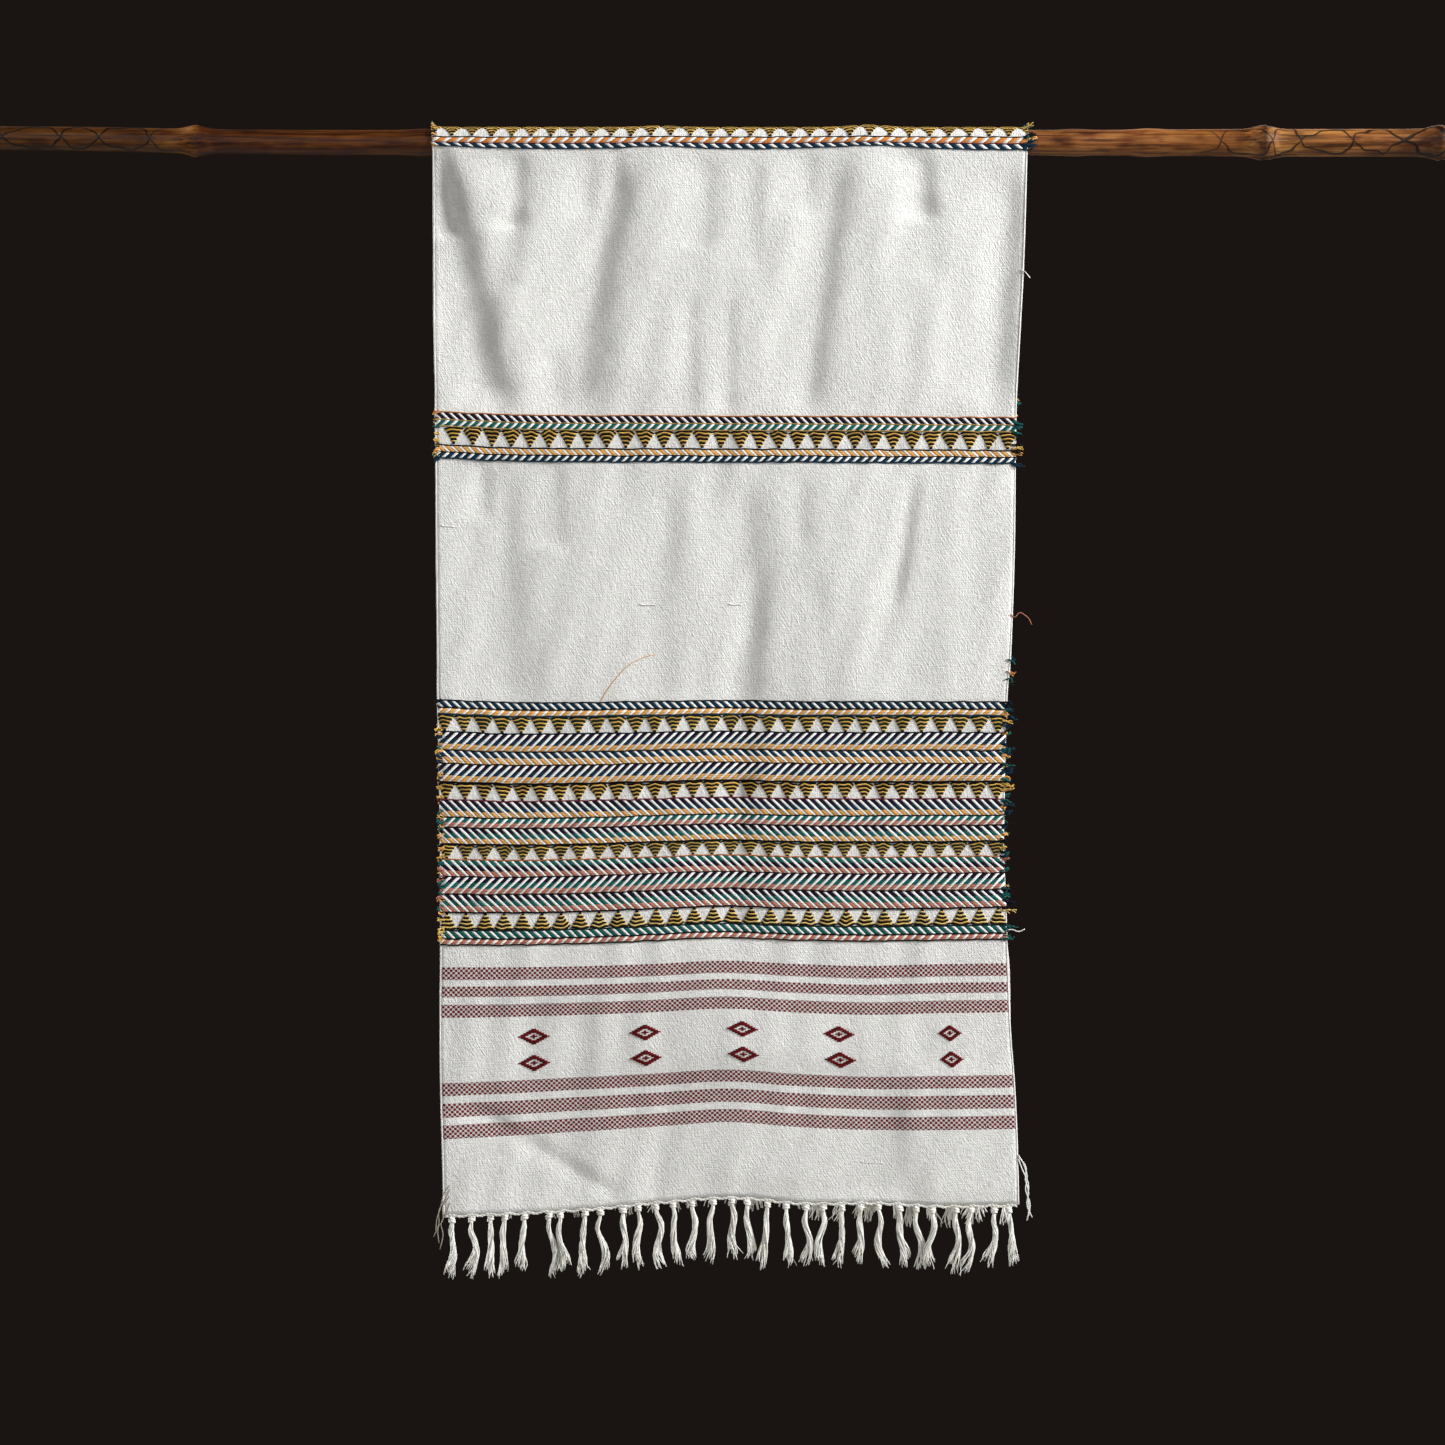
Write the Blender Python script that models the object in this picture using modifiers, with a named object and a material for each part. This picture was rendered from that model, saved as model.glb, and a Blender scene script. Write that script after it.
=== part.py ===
"""An embroidered stole folded over a cane rod.

Metres, +Z up. The origin is on the rod's axis at the middle of the cloth, +X runs along the
rod to the right of somebody who looks at the front fall, and the front fall faces -Y.
"Drop" is a distance below the rod's axis along the cloth, and "across" runs from 0 at the
left selvedge to 1 at the right one.
"""
import math
import random
from collections import namedtuple

import bmesh
import bpy
from mathutils import Vector

MM = 0.001

# Driving dimensions

CLOTH_WALL = 1.4 * MM
SEAM = 0.3 * MM
ROD_RADIUS = 11.8 * MM
ROD_SIDES = 12
COLUMNS = 26

OVER_ROD_DROP = 18 * MM
CENTRE_BAND_DROP = 9.4 * MM

FRONT_HEM = 1004 * MM
BACK_HEM = 957 * MM
NARROW_BAND_HEIGHT = 44.3 * MM
WIDE_BAND_HEIGHT = 225.9 * MM

BAND_THICKEST = 1.4 * MM

HEM_STRIP = 3 * MM
TASSELS = 31
TASSEL_LENGTH = 63 * MM
TASSEL_LENGTH_CHANGES = (-5 * MM, 4 * MM)
TASSEL_SPACING_CHANGE = 0.2
TASSEL_LEAN = 5 * MM
TASSEL_SWING = 3 * MM
KNOT_BELOW_HEM = 9 * MM
ROOT_BELOW_HEM = 1.3 * MM
ROOT_RADIUS = 1 * MM
SECOND_LOCK_ASIDE = 5.5 * MM
SECOND_LOCK_FORWARD = 2 * MM
SECOND_LOCK_SHORTER = (3 * MM, 8 * MM)

# The rings of a tassel's locks: how far they lie from the knot to the tip, and their radius

LockRing = namedtuple("LockRing", "down radius")
MAIN_LOCK = (
    LockRing(0, 4.8 * MM), LockRing(0.1, 3.2 * MM), LockRing(0.6, 4.6 * MM), LockRing(1, 3.4 * MM),
)
SECOND_LOCK = (LockRing(0, 1.6 * MM), LockRing(0.6, 2 * MM), LockRing(1, 1.5 * MM))

# The places down one fall where its bands, stripes and hem start and end

Fall = namedtuple("Fall", "side narrow_top wide_top stripes_top stripes_end hem")
FRONT = Fall(-1, 259 * MM, 529.5 * MM, 778 * MM, 932.6 * MM, FRONT_HEM)
BACK = Fall(1, 236 * MM, 487 * MM, 731 * MM, 885.6 * MM, BACK_HEM)

# The cane thickens from left to right: place along X and radius, in millimetres

ROD_TAPER = ((-720, 11.3), (-505, 11.4), (-300, 11.8), (300, 11.8), (520, 12.8), (720, 12.9))

# The joints where the cane swells

RodJoint = namedtuple("RodJoint", "x swelling half_length")
ROD_JOINTS = (
    RodJoint(-505 * MM, 3.6 * MM, 11 * MM),
    RodJoint(-288 * MM, 1.2 * MM, 16 * MM),
    RodJoint(-66 * MM, 1.3 * MM, 22 * MM),
    RodJoint(130 * MM, 2.2 * MM, 24 * MM),
    RodJoint(325 * MM, 1.0 * MM, 14 * MM),
    RodJoint(396 * MM, 1.2 * MM, 14 * MM),
    RodJoint(505 * MM, 3.8 * MM, 12 * MM),
    RodJoint(672 * MM, 3.6 * MM, 12 * MM),
)
ROD_RINGS_LEFT = (-720, -690, -600, -530, -514, -505, -496, -480, -400, -310)
ROD_RINGS_RIGHT = (310, 325, 345, 380, 396, 412, 480, 494, 505, 516, 530, 600, 655, 672, 690, 720)

# The cane bends up a little past the cloth's left edge: place along X and rise, in millimetres

ROD_BEND = ((-690, 4.2), (-600, 3.4), (-505, 1.4), (-400, 0.2), (-310, 0), (720, 0))

# Each selvedge's distance from the middle, for a row down the fall

Edge = namedtuple("Edge", "drop left right")
FRONT_EDGES = (
    Edge(0, 281, 281), Edge(113, 280.5, 277.5), Edge(197, 279.5, 273), Edge(245, 278.5, 270.5),
    Edge(387, 277.5, 268.5), Edge(489, 276.5, 265), Edge(519, 276.5, 262), Edge(580, 275, 260),
    Edge(670, 273.5, 258.5), Edge(717, 273.5, 260.5), Edge(764, 273.5, 262),
    Edge(840, 274, 265), Edge(886, 273.5, 268.5), Edge(934, 272, 271), Edge(1012, 270.5, 273),
)
BACK_EDGES = (
    Edge(0, 281, 281), Edge(113, 280, 276), Edge(197, 279, 271), Edge(338, 278, 267),
    Edge(434, 277, 265), Edge(560, 276, 258), Edge(688, 275, 257.5), Edge(740, 274.5, 262),
    Edge(780, 274, 266), Edge(860, 274, 267), Edge(965, 273, 270),
)

# How far each weft row lies above its level at a place across the fall, in millimetres,
# at the narrow band, at the wide band's top and end, at the stripes' top and end, and at the hem

CENTRE_LEVEL = 12 * MM
Lift = namedtuple("Lift", "across centre narrow wide_top wide_end stripes_top stripes_end hem")
LIFTS = (
    Lift(0.00, 5.2, 4.2, 2.4, -3.8, -2.4, -9.6, -9.9),
    Lift(0.12, 2.2, 1.1, -0.5, -3.8, -2.4, -6.6, -7.5),
    Lift(0.25, 1.6, 0.0, -0.5, -2.4, -1.4, -2.2, -3.8),
    Lift(0.38, 3.8, 0.0, 0.5, 0.5, 0.9, 2.4, 2.8),
    Lift(0.50, 1.4, -0.5, 1.4, 3.0, 3.8, 6.6, 7.1),
    Lift(0.62, 2.2, -0.5, 0.5, 0.9, 0.9, 1.9, 1.9),
    Lift(0.75, 4.6, -0.9, 0.3, 0.0, -1.1, -0.9, 2.4),
    Lift(0.87, 1.2, -1.4, 0.4, 0.7, 0.5, -0.5, -0.5),
    Lift(1.00, 0.4, -1.9, -0.1, 2.0, 1.4, 0.5, 0.5),
)

# The folds, in millimetres: a positive depth is a trough towards the other fall

SLOW_SIDE = 2.3
Fold = namedtuple("Fold", "name x_top x_mid x_end top end depth half_width")
FRONT_FOLDS = (
    Fold("left edge trough", -283, -249, -217, 8, 272, 7.0, 18),
    Fold("left edge ridge", -236, -222, -205, 20, 250, -2.5, 20),
    Fold("short left trough", -202, -204, -206, 8, 90, 4.2, 12),
    Fold("left trough", -106, -129, -154, 6, 274, 6.4, 20),
    Fold("left ridge", -66, -92, -108, 14, 250, -2.0, 20),
    Fold("short middle trough", -23, -26, -28, 10, 110, 3.0, 12),
    Fold("right trough", 103, 84, 68, 6, 272, 4.4, 14),
    Fold("right ridge", 136, 122, 108, 14, 250, -1.5, 20),
    Fold("short right trough", 176, 180, 184, 8, 80, 3.5, 11),
    Fold("right edge trough", 262, 257, 240, 8, 255, 5.0, 15),
    Fold("middle left trough", -216, -215, -210, 285, 545, 3.8, 18),
    Fold("middle left ridge", -168, -160, -158, 300, 540, -1.2, 24),
    Fold("middle trough", -66, -66, -64, 300, 545, 2.2, 18),
    Fold("middle right trough", 8, 17, 16, 295, 560, 3.4, 15),
    Fold("middle right ridge", 50, 52, 53, 310, 540, -1.5, 20),
    Fold("wide band crease", 6, 8, 10, 470, 790, 2.5, 20),
    Fold("far right trough", 162, 158, 170, 300, 550, 2.2, 20),
    Fold("broad right swell", 118, 118, 118, 285, 560, -4.5, 50),
    Fold("low left trough", -150, -160, -172, 800, 1010, 3.0, 30),
    Fold("low broad hollow", 15, 15, 15, 860, 1100, 5.0, 80),
    Fold("low middle ridge", -10, 5, 12, 780, 1010, -3.0, 40),
    Fold("low right trough", 124, 128, 132, 860, 1010, 3.0, 26),
    Fold("low right ridge", 196, 200, 205, 860, 1010, -2.0, 30),
)
BACK_FOLDS = (
    Fold("right edge trough", 268, 246, 232, 8, 250, 5.5, 20),
    Fold("right trough", 150, 132, 124, 8, 240, 5.0, 19),
    Fold("right ridge", 116, 100, 94, 14, 230, -2.0, 21),
    Fold("middle trough", 6, -8, -18, 8, 245, 4.5, 17),
    Fold("left ridge", -96, -84, -80, 14, 230, -2.0, 22),
    Fold("left trough", -142, -126, -118, 8, 240, 5.0, 16),
    Fold("left edge trough", -262, -246, -236, 8, 225, 4.5, 16),
    Fold("middle left trough", -178, -170, -168, 280, 500, 3.2, 20),
    Fold("middle trough low", 40, 36, 34, 290, 510, 3.2, 18),
    Fold("middle ridge low", -20, -24, -26, 290, 500, -1.5, 26),
    Fold("far right trough", 190, 184, 186, 280, 500, 3.2, 20),
    Fold("low right trough", 150, 160, 166, 740, 965, 3.0, 30),
    Fold("low middle ridge", 20, 6, -4, 730, 965, -3.0, 40),
    Fold("low left trough", -110, -118, -124, 790, 965, 3.0, 28),
)

# The wide band's rows, as distances below its top: the ropes stand out and the triangles don't

BandRow = namedtuple("BandRow", "name below_top thickness")
WIDE_BAND_ROWS = (
    BandRow("top edge", 0, 0.7),
    BandRow("top ropes", 6.6, 1.3),
    BandRow("first triangles", 21.4, 0.7),
    BandRow("first twills", 52.3, 1.4),
    BandRow("second triangles", 84.1, 0.7),
    BandRow("second twills", 112.2, 1.4),
    BandRow("third triangles", 139.8, 0.7),
    BandRow("third twills", 170.9, 1.4),
    BandRow("fourth triangles", 203.9, 0.7),
    BandRow("last ropes", 219.3, 1.3),
    BandRow("end edge", 225.9, 0.7),
)
NARROW_BAND_ROWS = (
    BandRow("top edge", 0, 0.7),
    BandRow("twills", 7.5, 1.2),
    BandRow("triangles", 22.5, 0.7),
    BandRow("ropes", 38.5, 1.3),
    BandRow("end edge", 44.3, 0.7),
)
CENTRE_BAND_THICKNESSES = (0.7, 1.3, 0.9, 0.9, 0.9, 1.2, 0.7)


def smooth_through(knots, x):
    """Read a smooth curve through knots of (x, y), level past its ends."""
    if x <= knots[0][0]:
        return knots[0][1]
    if x >= knots[-1][0]:
        return knots[-1][1]
    i = max(k for k in range(len(knots) - 1) if knots[k][0] <= x)

    def slope(k):
        before, after = max(k - 1, 0), min(k + 1, len(knots) - 1)
        return (knots[after][1] - knots[before][1]) / (knots[after][0] - knots[before][0])

    (x0, y0), (x1, y1) = knots[i], knots[i + 1]
    length = x1 - x0
    t = (x - x0) / length
    from_start = (1 + 2 * t) * (1 - t) ** 2 * y0 + t * (1 - t) ** 2 * length * slope(i)
    from_end = t * t * (3 - 2 * t) * y1 - t * t * (1 - t) * length * slope(i + 1)
    return from_start + from_end


def ease(t):
    """Rise softly from 0 to 1 while t goes from 0 to 1."""
    t = min(max(t, 0), 1)
    return t * t * (3 - 2 * t)


def rod_radius(x):
    swelling = sum(
        joint.swelling * math.exp(-((x - joint.x) / joint.half_length) ** 2)
        for joint in ROD_JOINTS
    )
    taper = smooth_through([(place * MM, radius * MM) for place, radius in ROD_TAPER], x)
    return taper + swelling


def rod_rise(x):
    return smooth_through([(place * MM, rise * MM) for place, rise in ROD_BEND], x)


def fold_depth(folds, side, x, drop):
    """Add up how far the folds push the cloth in. Each is steep on one side, slow on the other."""
    total = 0
    for fold in folds:
        down = (drop / MM - fold.top) / (fold.end - fold.top)
        if not 0 < down < 1:
            continue
        path = smooth_through([(0, fold.x_top), (0.5, fold.x_mid), (1, fold.x_end)], down)
        off_path = (path - x / MM) * side / fold.half_width
        if off_path * fold.depth < 0:
            off_path /= SLOW_SIDE
        strength = ease(down / 0.2) * ease((1 - down) / 0.15)
        total += fold.depth * strength * math.exp(-off_path ** 2)
    return total * MM


def weft_lift(fall, across, drop):
    """Find how far a weft row lies above its level."""
    place = across if fall.side < 0 else 1 - across
    wide_end = fall.wide_top + WIDE_BAND_HEIGHT
    levels = (
        (0, None), (CENTRE_LEVEL, "centre"), (fall.narrow_top, "narrow"),
        (fall.wide_top, "wide_top"), (wide_end, "wide_end"), (fall.stripes_top, "stripes_top"),
        (fall.stripes_end, "stripes_end"), (fall.hem, "hem"),
    )
    knots = []
    for level, column in levels:
        lift = 0
        if column:
            lift = smooth_through([(row.across, getattr(row, column)) for row in LIFTS], place)
        knots.append((level, lift * MM))
    return smooth_through(knots, drop)


def fall_point(fall, across, drop):
    """Place a point of a fall's outer face."""
    edges = FRONT_EDGES if fall.side < 0 else BACK_EDGES
    folds = FRONT_FOLDS if fall.side < 0 else BACK_FOLDS
    left = smooth_through([(edge.drop * MM, edge.left * MM) for edge in edges], drop)
    right = smooth_through([(edge.drop * MM, edge.right * MM) for edge in edges], drop)
    x = -left + across * (left + right)
    below_rod = ease((drop - OVER_ROD_DROP) / (90 * MM))
    outside = rod_radius(x) * (1 - below_rod) + ROD_RADIUS * below_rod + SEAM + CLOTH_WALL
    outside -= fold_depth(folds, fall.side, x, drop)
    return Vector((x, fall.side * outside, weft_lift(fall, across, drop) - drop))


def column_places():
    return [column / COLUMNS for column in range(COLUMNS + 1)]


def fall_grid(fall, drops):
    """Place one row of points for each drop."""
    return [[fall_point(fall, across, drop) for across in column_places()] for drop in drops]


def over_rod_grid():
    """Place the rows that run from the front fall over the rod to the back fall."""
    rows = [
        [fall_point(FRONT, across, OVER_ROD_DROP) for across in column_places()],
        [fall_point(FRONT, across, CENTRE_BAND_DROP) for across in column_places()],
    ]
    steps = ROD_SIDES // 2
    for step in range(steps + 1):
        angle = math.pi * step / steps
        row = []
        for across in column_places():
            x = fall_point(FRONT, across, 0).x
            outside = rod_radius(x) + SEAM + CLOTH_WALL
            row.append(Vector((x, -outside * math.cos(angle), outside * math.sin(angle))))
        rows.append(row)
    rows.append([fall_point(BACK, across, OVER_ROD_DROP) for across in column_places()])
    return rows


def rows_between(grid, drops, wanted):
    """Read rows at the wanted drops, straight between a grid's rows."""
    rows = []
    for drop in wanted:
        i = max(k for k in range(len(drops) - 1) if drops[k] <= drop + 1e-9)
        part = (drop - drops[i]) / (drops[i + 1] - drops[i])
        rows.append([a.lerp(b, part) for a, b in zip(grid[i], grid[i + 1])])
    return rows


def outward(grid, i, j):
    """Find a grid's direction away from the rod at one of its points."""
    up = grid[max(i - 1, 0)][j] - grid[min(i + 1, len(grid) - 1)][j]
    right = grid[i][min(j + 1, len(grid[i]) - 1)] - grid[i][max(j - 1, 0)]
    return right.cross(up).normalized()


def moved_out(grid, distance, facing):
    return [
        [point + outward(grid, i, j) * distance * facing for j, point in enumerate(row)]
        for i, row in enumerate(grid)
    ]


def material(name, colour, roughness):
    """Make a material from a colour given as three sRGB values of 0 to 255."""
    made = bpy.data.materials.new(name)
    made.use_nodes = True
    linear = [((value / 255 + 0.055) / 1.055) ** 2.4 for value in colour]
    shader = made.node_tree.nodes["Principled BSDF"]
    shader.inputs["Base Color"].default_value = (*linear, 1)
    shader.inputs["Roughness"].default_value = roughness
    made.diffuse_color = (*linear, 1)
    return made


def add_object(name, data, collection, look):
    made = bpy.data.objects.new(name, data)
    data.materials.append(look)
    collection.objects.link(made)
    return made


def surface(name, grid, turned, collection, look):
    """Make an open surface through a grid of points, with its faces turned outwards."""
    columns = len(grid[0])
    faces = []
    for i in range(len(grid) - 1):
        for j in range(columns - 1):
            corner = i * columns + j
            face = (corner, corner + columns, corner + columns + 1, corner + 1)
            faces.append(face[::-1] if turned else face)
    mesh = bpy.data.meshes.new(name)
    mesh.from_pydata([point for row in grid for point in row], [], faces)
    mesh.shade_smooth()
    return add_object(name, mesh, collection, look)


def thicken(target, thickness, outwards):
    shell = target.modifiers.new("Wall", "SOLIDIFY")
    shell.thickness = thickness
    shell.offset = 1 if outwards else -1
    shell.use_even_offset = True
    return shell


def cloth_piece(name, grid, turned, collection, look):
    """Make a stretch of the cloth as a wall under its outer face."""
    piece = surface(name, grid, turned, collection, look)
    thicken(piece, CLOTH_WALL, outwards=False)
    return piece


def band_piece(name, grid, thicknesses, turned, collection, look):
    """Make a raised band on the cloth, with its own thickness in millimetres for each row."""
    facing = -1 if turned else 1
    piece = surface(name, moved_out(grid, SEAM, facing), turned, collection, look)
    group = piece.vertex_groups.new(name="thickness")
    columns = len(grid[0])
    for i, thickness in enumerate(thicknesses):
        row = list(range(i * columns, (i + 1) * columns))
        group.add(row, thickness * MM / BAND_THICKEST, "REPLACE")
    shell = thicken(piece, BAND_THICKEST, outwards=True)
    shell.vertex_group = "thickness"
    return piece


def fall_drops(fall):
    """List the drops of a fall's rows, with one at each edge of its bands."""
    def spread(start, end, count):
        return [start + (end - start) * k / count for k in range(count)]

    narrow_end = fall.narrow_top + NARROW_BAND_HEIGHT
    wide_end = fall.wide_top + WIDE_BAND_HEIGHT
    drops = spread(OVER_ROD_DROP + SEAM, fall.narrow_top, 5)
    drops += [fall.narrow_top]
    drops += spread(narrow_end, fall.wide_top, 4)
    drops += [fall.wide_top]
    drops += [fall.wide_top + row.below_top * MM for row in WIDE_BAND_ROWS
              if row.name in ("second triangles", "third triangles")]
    drops += spread(wide_end, fall.hem, 4)
    return drops + [fall.hem]


def rod(collection):
    """Make the cane as a curve, with a ring under each column of the cloth."""
    under_cloth = [fall_point(FRONT, across, 0).x for across in column_places()]
    places = [place * MM for place in ROD_RINGS_LEFT] + under_cloth
    places += [place * MM for place in ROD_RINGS_RIGHT]
    curve = bpy.data.curves.new("rod", "CURVE")
    curve.dimensions = "3D"
    curve.bevel_depth = ROD_RADIUS
    curve.bevel_resolution = (ROD_SIDES - 4) // 2
    curve.use_fill_caps = True
    spline = curve.splines.new("POLY")
    spline.points.add(len(places) - 1)
    for point, x in zip(spline.points, places):
        point.co = (x, 0, rod_rise(x), 1)
        point.radius = rod_radius(x) / ROD_RADIUS
    return add_object("rod", curve, collection, material("rod", (122, 79, 40), 0.45))


def fall_cloth(fall, name, collection, look):
    drops = fall_drops(fall)
    grid = fall_grid(fall, drops)
    cloth_piece(f"cloth_{name}", grid, fall.side > 0, collection, look)
    return drops, grid


def fall_band(fall, name, rows, top, drops, grid, collection, look):
    wanted = [top + row.below_top * MM for row in rows]
    band = rows_between(grid, drops, wanted)
    thicknesses = [row.thickness for row in rows]
    band_piece(name, band, thicknesses, fall.side > 0, collection, look)


def strands(name, paths, cutters, look):
    """Make tapering four-sided strands, one for each path of points with a radius."""
    curve = bpy.data.curves.new(name, "CURVE")
    curve.dimensions = "3D"
    curve.bevel_depth = MM
    curve.bevel_resolution = 0
    curve.use_fill_caps = True
    for path in paths:
        spline = curve.splines.new("POLY")
        spline.points.add(len(path) - 1)
        for point, (place, radius) in zip(spline.points, path):
            point.co = (*place, 1)
            point.radius = radius / MM
    made = add_object(name, curve, cutters, look)
    bpy.context.view_layer.update()
    evaluated = made.evaluated_get(bpy.context.evaluated_depsgraph_get())
    mesh = bpy.data.meshes.new_from_object(evaluated)
    bpy.data.objects.remove(made)
    return welded(name, mesh, cutters)


def welded(name, mesh, cutters):
    work = bmesh.new()
    work.from_mesh(mesh)
    bmesh.ops.remove_doubles(work, verts=work.verts, dist=0.01 * MM)
    work.to_mesh(mesh)
    work.free()
    made = bpy.data.objects.new(name, mesh)
    cutters.objects.link(made)
    made.hide_render = True
    made.display_type = "WIRE"
    return made


def tassel_paths(fall, seed):
    """Work out the tassels of a hem: a knotted main lock each, and a second lock beside it."""
    chance = random.Random(seed)
    main_paths, second_paths = [], []
    for number in range(TASSELS):
        spacing_change = chance.uniform(-TASSEL_SPACING_CHANGE, TASSEL_SPACING_CHANGE)
        across = (number + 0.5 + spacing_change) / TASSELS
        lean = chance.uniform(-TASSEL_LEAN, TASSEL_LEAN)
        swing = chance.uniform(-TASSEL_SWING, TASSEL_SWING)
        length = TASSEL_LENGTH + chance.uniform(*TASSEL_LENGTH_CHANGES)
        aside = chance.choice((-1, 1)) * SECOND_LOCK_ASIDE
        forward = chance.uniform(-SECOND_LOCK_FORWARD, SECOND_LOCK_FORWARD)
        shorter = chance.uniform(*SECOND_LOCK_SHORTER)

        hem_point = fall_point(fall, across, fall.hem)
        hem_point.y -= fall.side * CLOTH_WALL / 2
        knot = hem_point - Vector((0, 0, KNOT_BELOW_HEM))
        tip = hem_point + Vector((lean, swing, -length))
        second_tip = tip + Vector((aside, forward, shorter))
        root = (hem_point - Vector((0, 0, ROOT_BELOW_HEM)), ROOT_RADIUS)
        main_paths.append([root] + [(knot.lerp(tip, ring.down), ring.radius) for ring in MAIN_LOCK])
        second_paths.append(
            [(knot.lerp(second_tip, ring.down), ring.radius) for ring in SECOND_LOCK]
        )
    return main_paths, second_paths


def fringe(fall, name, seed, collection, cutters, look):
    """Make the twined strip under a hem with its tassels rooted in it."""
    drops = (fall.hem + SEAM, fall.hem + SEAM + HEM_STRIP)
    piece = cloth_piece(name, fall_grid(fall, drops), fall.side > 0, collection, look)
    main_paths, second_paths = tassel_paths(fall, seed)
    for part, paths in (("main", main_paths), ("second", second_paths)):
        helper = strands(f"{name}_{part}_locks", paths, cutters, look)
        union = piece.modifiers.new(part, "BOOLEAN")
        union.operation = "UNION"
        union.solver = "EXACT"
        union.object = helper
    return piece


def main():
    for old in list(bpy.data.objects):
        bpy.data.objects.remove(old)
    collection = bpy.data.collections.new("embroidered_stole")
    cutters = bpy.data.collections.new("fringe_locks")
    bpy.context.scene.collection.children.link(collection)
    bpy.context.scene.collection.children.link(cutters)

    rod(collection)

    over = over_rod_grid()
    cloth_piece("cloth_over_rod", over, True, collection,
                material("cloth_over_rod", (227, 226, 221), 0.85))
    centre = over[1:1 + len(CENTRE_BAND_THICKNESSES)]
    band_piece("centre_band", centre, CENTRE_BAND_THICKNESSES, True, collection,
               material("centre_band", (176, 132, 66), 0.8))

    for fall, name, seed in ((FRONT, "front", 11), (BACK, "back", 23)):
        ground = material(f"cloth_{name}", (227, 226, 221), 0.85)
        drops, grid = fall_cloth(fall, name, collection, ground)
        fall_band(fall, f"narrow_band_{name}", NARROW_BAND_ROWS, fall.narrow_top, drops, grid,
                  collection, material(f"narrow_band_{name}", (150, 118, 78), 0.8))
        fall_band(fall, f"wide_band_{name}", WIDE_BAND_ROWS, fall.wide_top, drops, grid,
                  collection, material(f"wide_band_{name}", (84, 80, 84), 0.8))
        fringe(fall, f"fringe_{name}", seed, collection, cutters,
               material(f"fringe_{name}", (214, 211, 204), 0.9))


main()
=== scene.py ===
# %% [markdown]
# # An embroidered stole over a cane rod
#
# A handwoven cotton stole hangs folded over a cane rod. The solid model of it comes from the
# frame, and this script dresses it: one thin sheet for the woven length, raised floats for the
# bands, yarns for the fringe, and a turned cane. Every size is in metres unless its name or a
# comment says millimetres.

# %% Load the frame
import math
import random
from collections import namedtuple

import bmesh
import bpy
import numpy as np
from mathutils import Matrix, Vector


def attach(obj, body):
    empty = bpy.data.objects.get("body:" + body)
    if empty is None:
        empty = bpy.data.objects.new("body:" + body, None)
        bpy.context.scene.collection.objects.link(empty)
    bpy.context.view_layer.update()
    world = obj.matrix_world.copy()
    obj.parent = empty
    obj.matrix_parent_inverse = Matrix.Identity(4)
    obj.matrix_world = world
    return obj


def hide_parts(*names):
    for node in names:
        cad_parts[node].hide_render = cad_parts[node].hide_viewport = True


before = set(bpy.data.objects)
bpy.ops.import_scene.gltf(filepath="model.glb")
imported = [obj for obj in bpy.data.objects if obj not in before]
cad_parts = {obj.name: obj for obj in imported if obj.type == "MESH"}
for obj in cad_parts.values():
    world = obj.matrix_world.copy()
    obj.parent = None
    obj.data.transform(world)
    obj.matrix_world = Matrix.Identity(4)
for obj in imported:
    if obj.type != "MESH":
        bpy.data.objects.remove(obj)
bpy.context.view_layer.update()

MM = 0.001

# %% [markdown]
# ## The camera
#
# The picture looks straight at the cloth from some way off, so lines across it stay level.
# A long lens does that. The picture is 1445 pixels square, and one pixel is 0.943 mm at the
# cloth, so the distance follows from the lens.

# %% Camera
PICTURE_SIDE = 1445
METRES_A_PIXEL = 0.943 * MM
CAMERA_LENS_MM = 85
SENSOR_MM = 36
CAMERA_X = -7 * MM
CAMERA_Z = -549 * MM
CLOTH_FACE_Y = -13.5 * MM

camera_data = bpy.data.cameras.new("camera")
camera_data.lens = CAMERA_LENS_MM
camera_data.sensor_width = SENSOR_MM
camera = bpy.data.objects.new("camera", camera_data)
bpy.context.scene.collection.objects.link(camera)
distance = PICTURE_SIDE * METRES_A_PIXEL * CAMERA_LENS_MM / SENSOR_MM
camera.location = (CAMERA_X, CLOTH_FACE_Y - distance, CAMERA_Z)
camera.rotation_euler = (math.radians(90), 0, 0)
bpy.context.scene.camera = camera
print("camera distance", round(distance, 3))

# %% [markdown]
# ## The light
#
# A large soft lamp at the right makes each fold show a bright side and a shaded side. A wide
# weak lamp at the left lifts the shadows, and another pair lights the back, because the stole
# is looked at from all sides. The surroundings stay dark, so the pale cloth stands out.

# %% Lamps
Lamp = namedtuple("Lamp", "name place size watts colour")
CLOTH_MIDDLE = Vector((0, 0, -0.5))
LAMPS = (
    Lamp("key_lamp", (4.0, -1.66, 1.65), 1.3, 378, (1, 0.995, 0.985)),
    Lamp("fill_lamp", (-1.1, -2.9, 0.7), 2.0, 34, (1, 0.99, 0.98)),
    Lamp("back_lamp", (-4.0, 1.66, 1.65), 1.3, 378, (1, 0.995, 0.985)),
    Lamp("back_fill_lamp", (1.1, 2.9, 0.7), 2.0, 34, (1, 0.99, 0.98)),
)


def add_lamp(lamp):
    data = bpy.data.lights.new(lamp.name, "AREA")
    data.size = lamp.size
    data.energy = lamp.watts
    data.color = lamp.colour
    made = bpy.data.objects.new(lamp.name, data)
    bpy.context.scene.collection.objects.link(made)
    made.location = lamp.place
    made.rotation_euler = (CLOTH_MIDDLE - made.location).to_track_quat("-Z", "Y").to_euler()


for lamp in LAMPS:
    add_lamp(lamp)
print("lamps", len(LAMPS))

# %% [markdown]
# Blender's usual view softens strong colours, so the plain one is set.

# %% Plain colour view
bpy.context.scene.view_settings.view_transform = "Standard"

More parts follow.
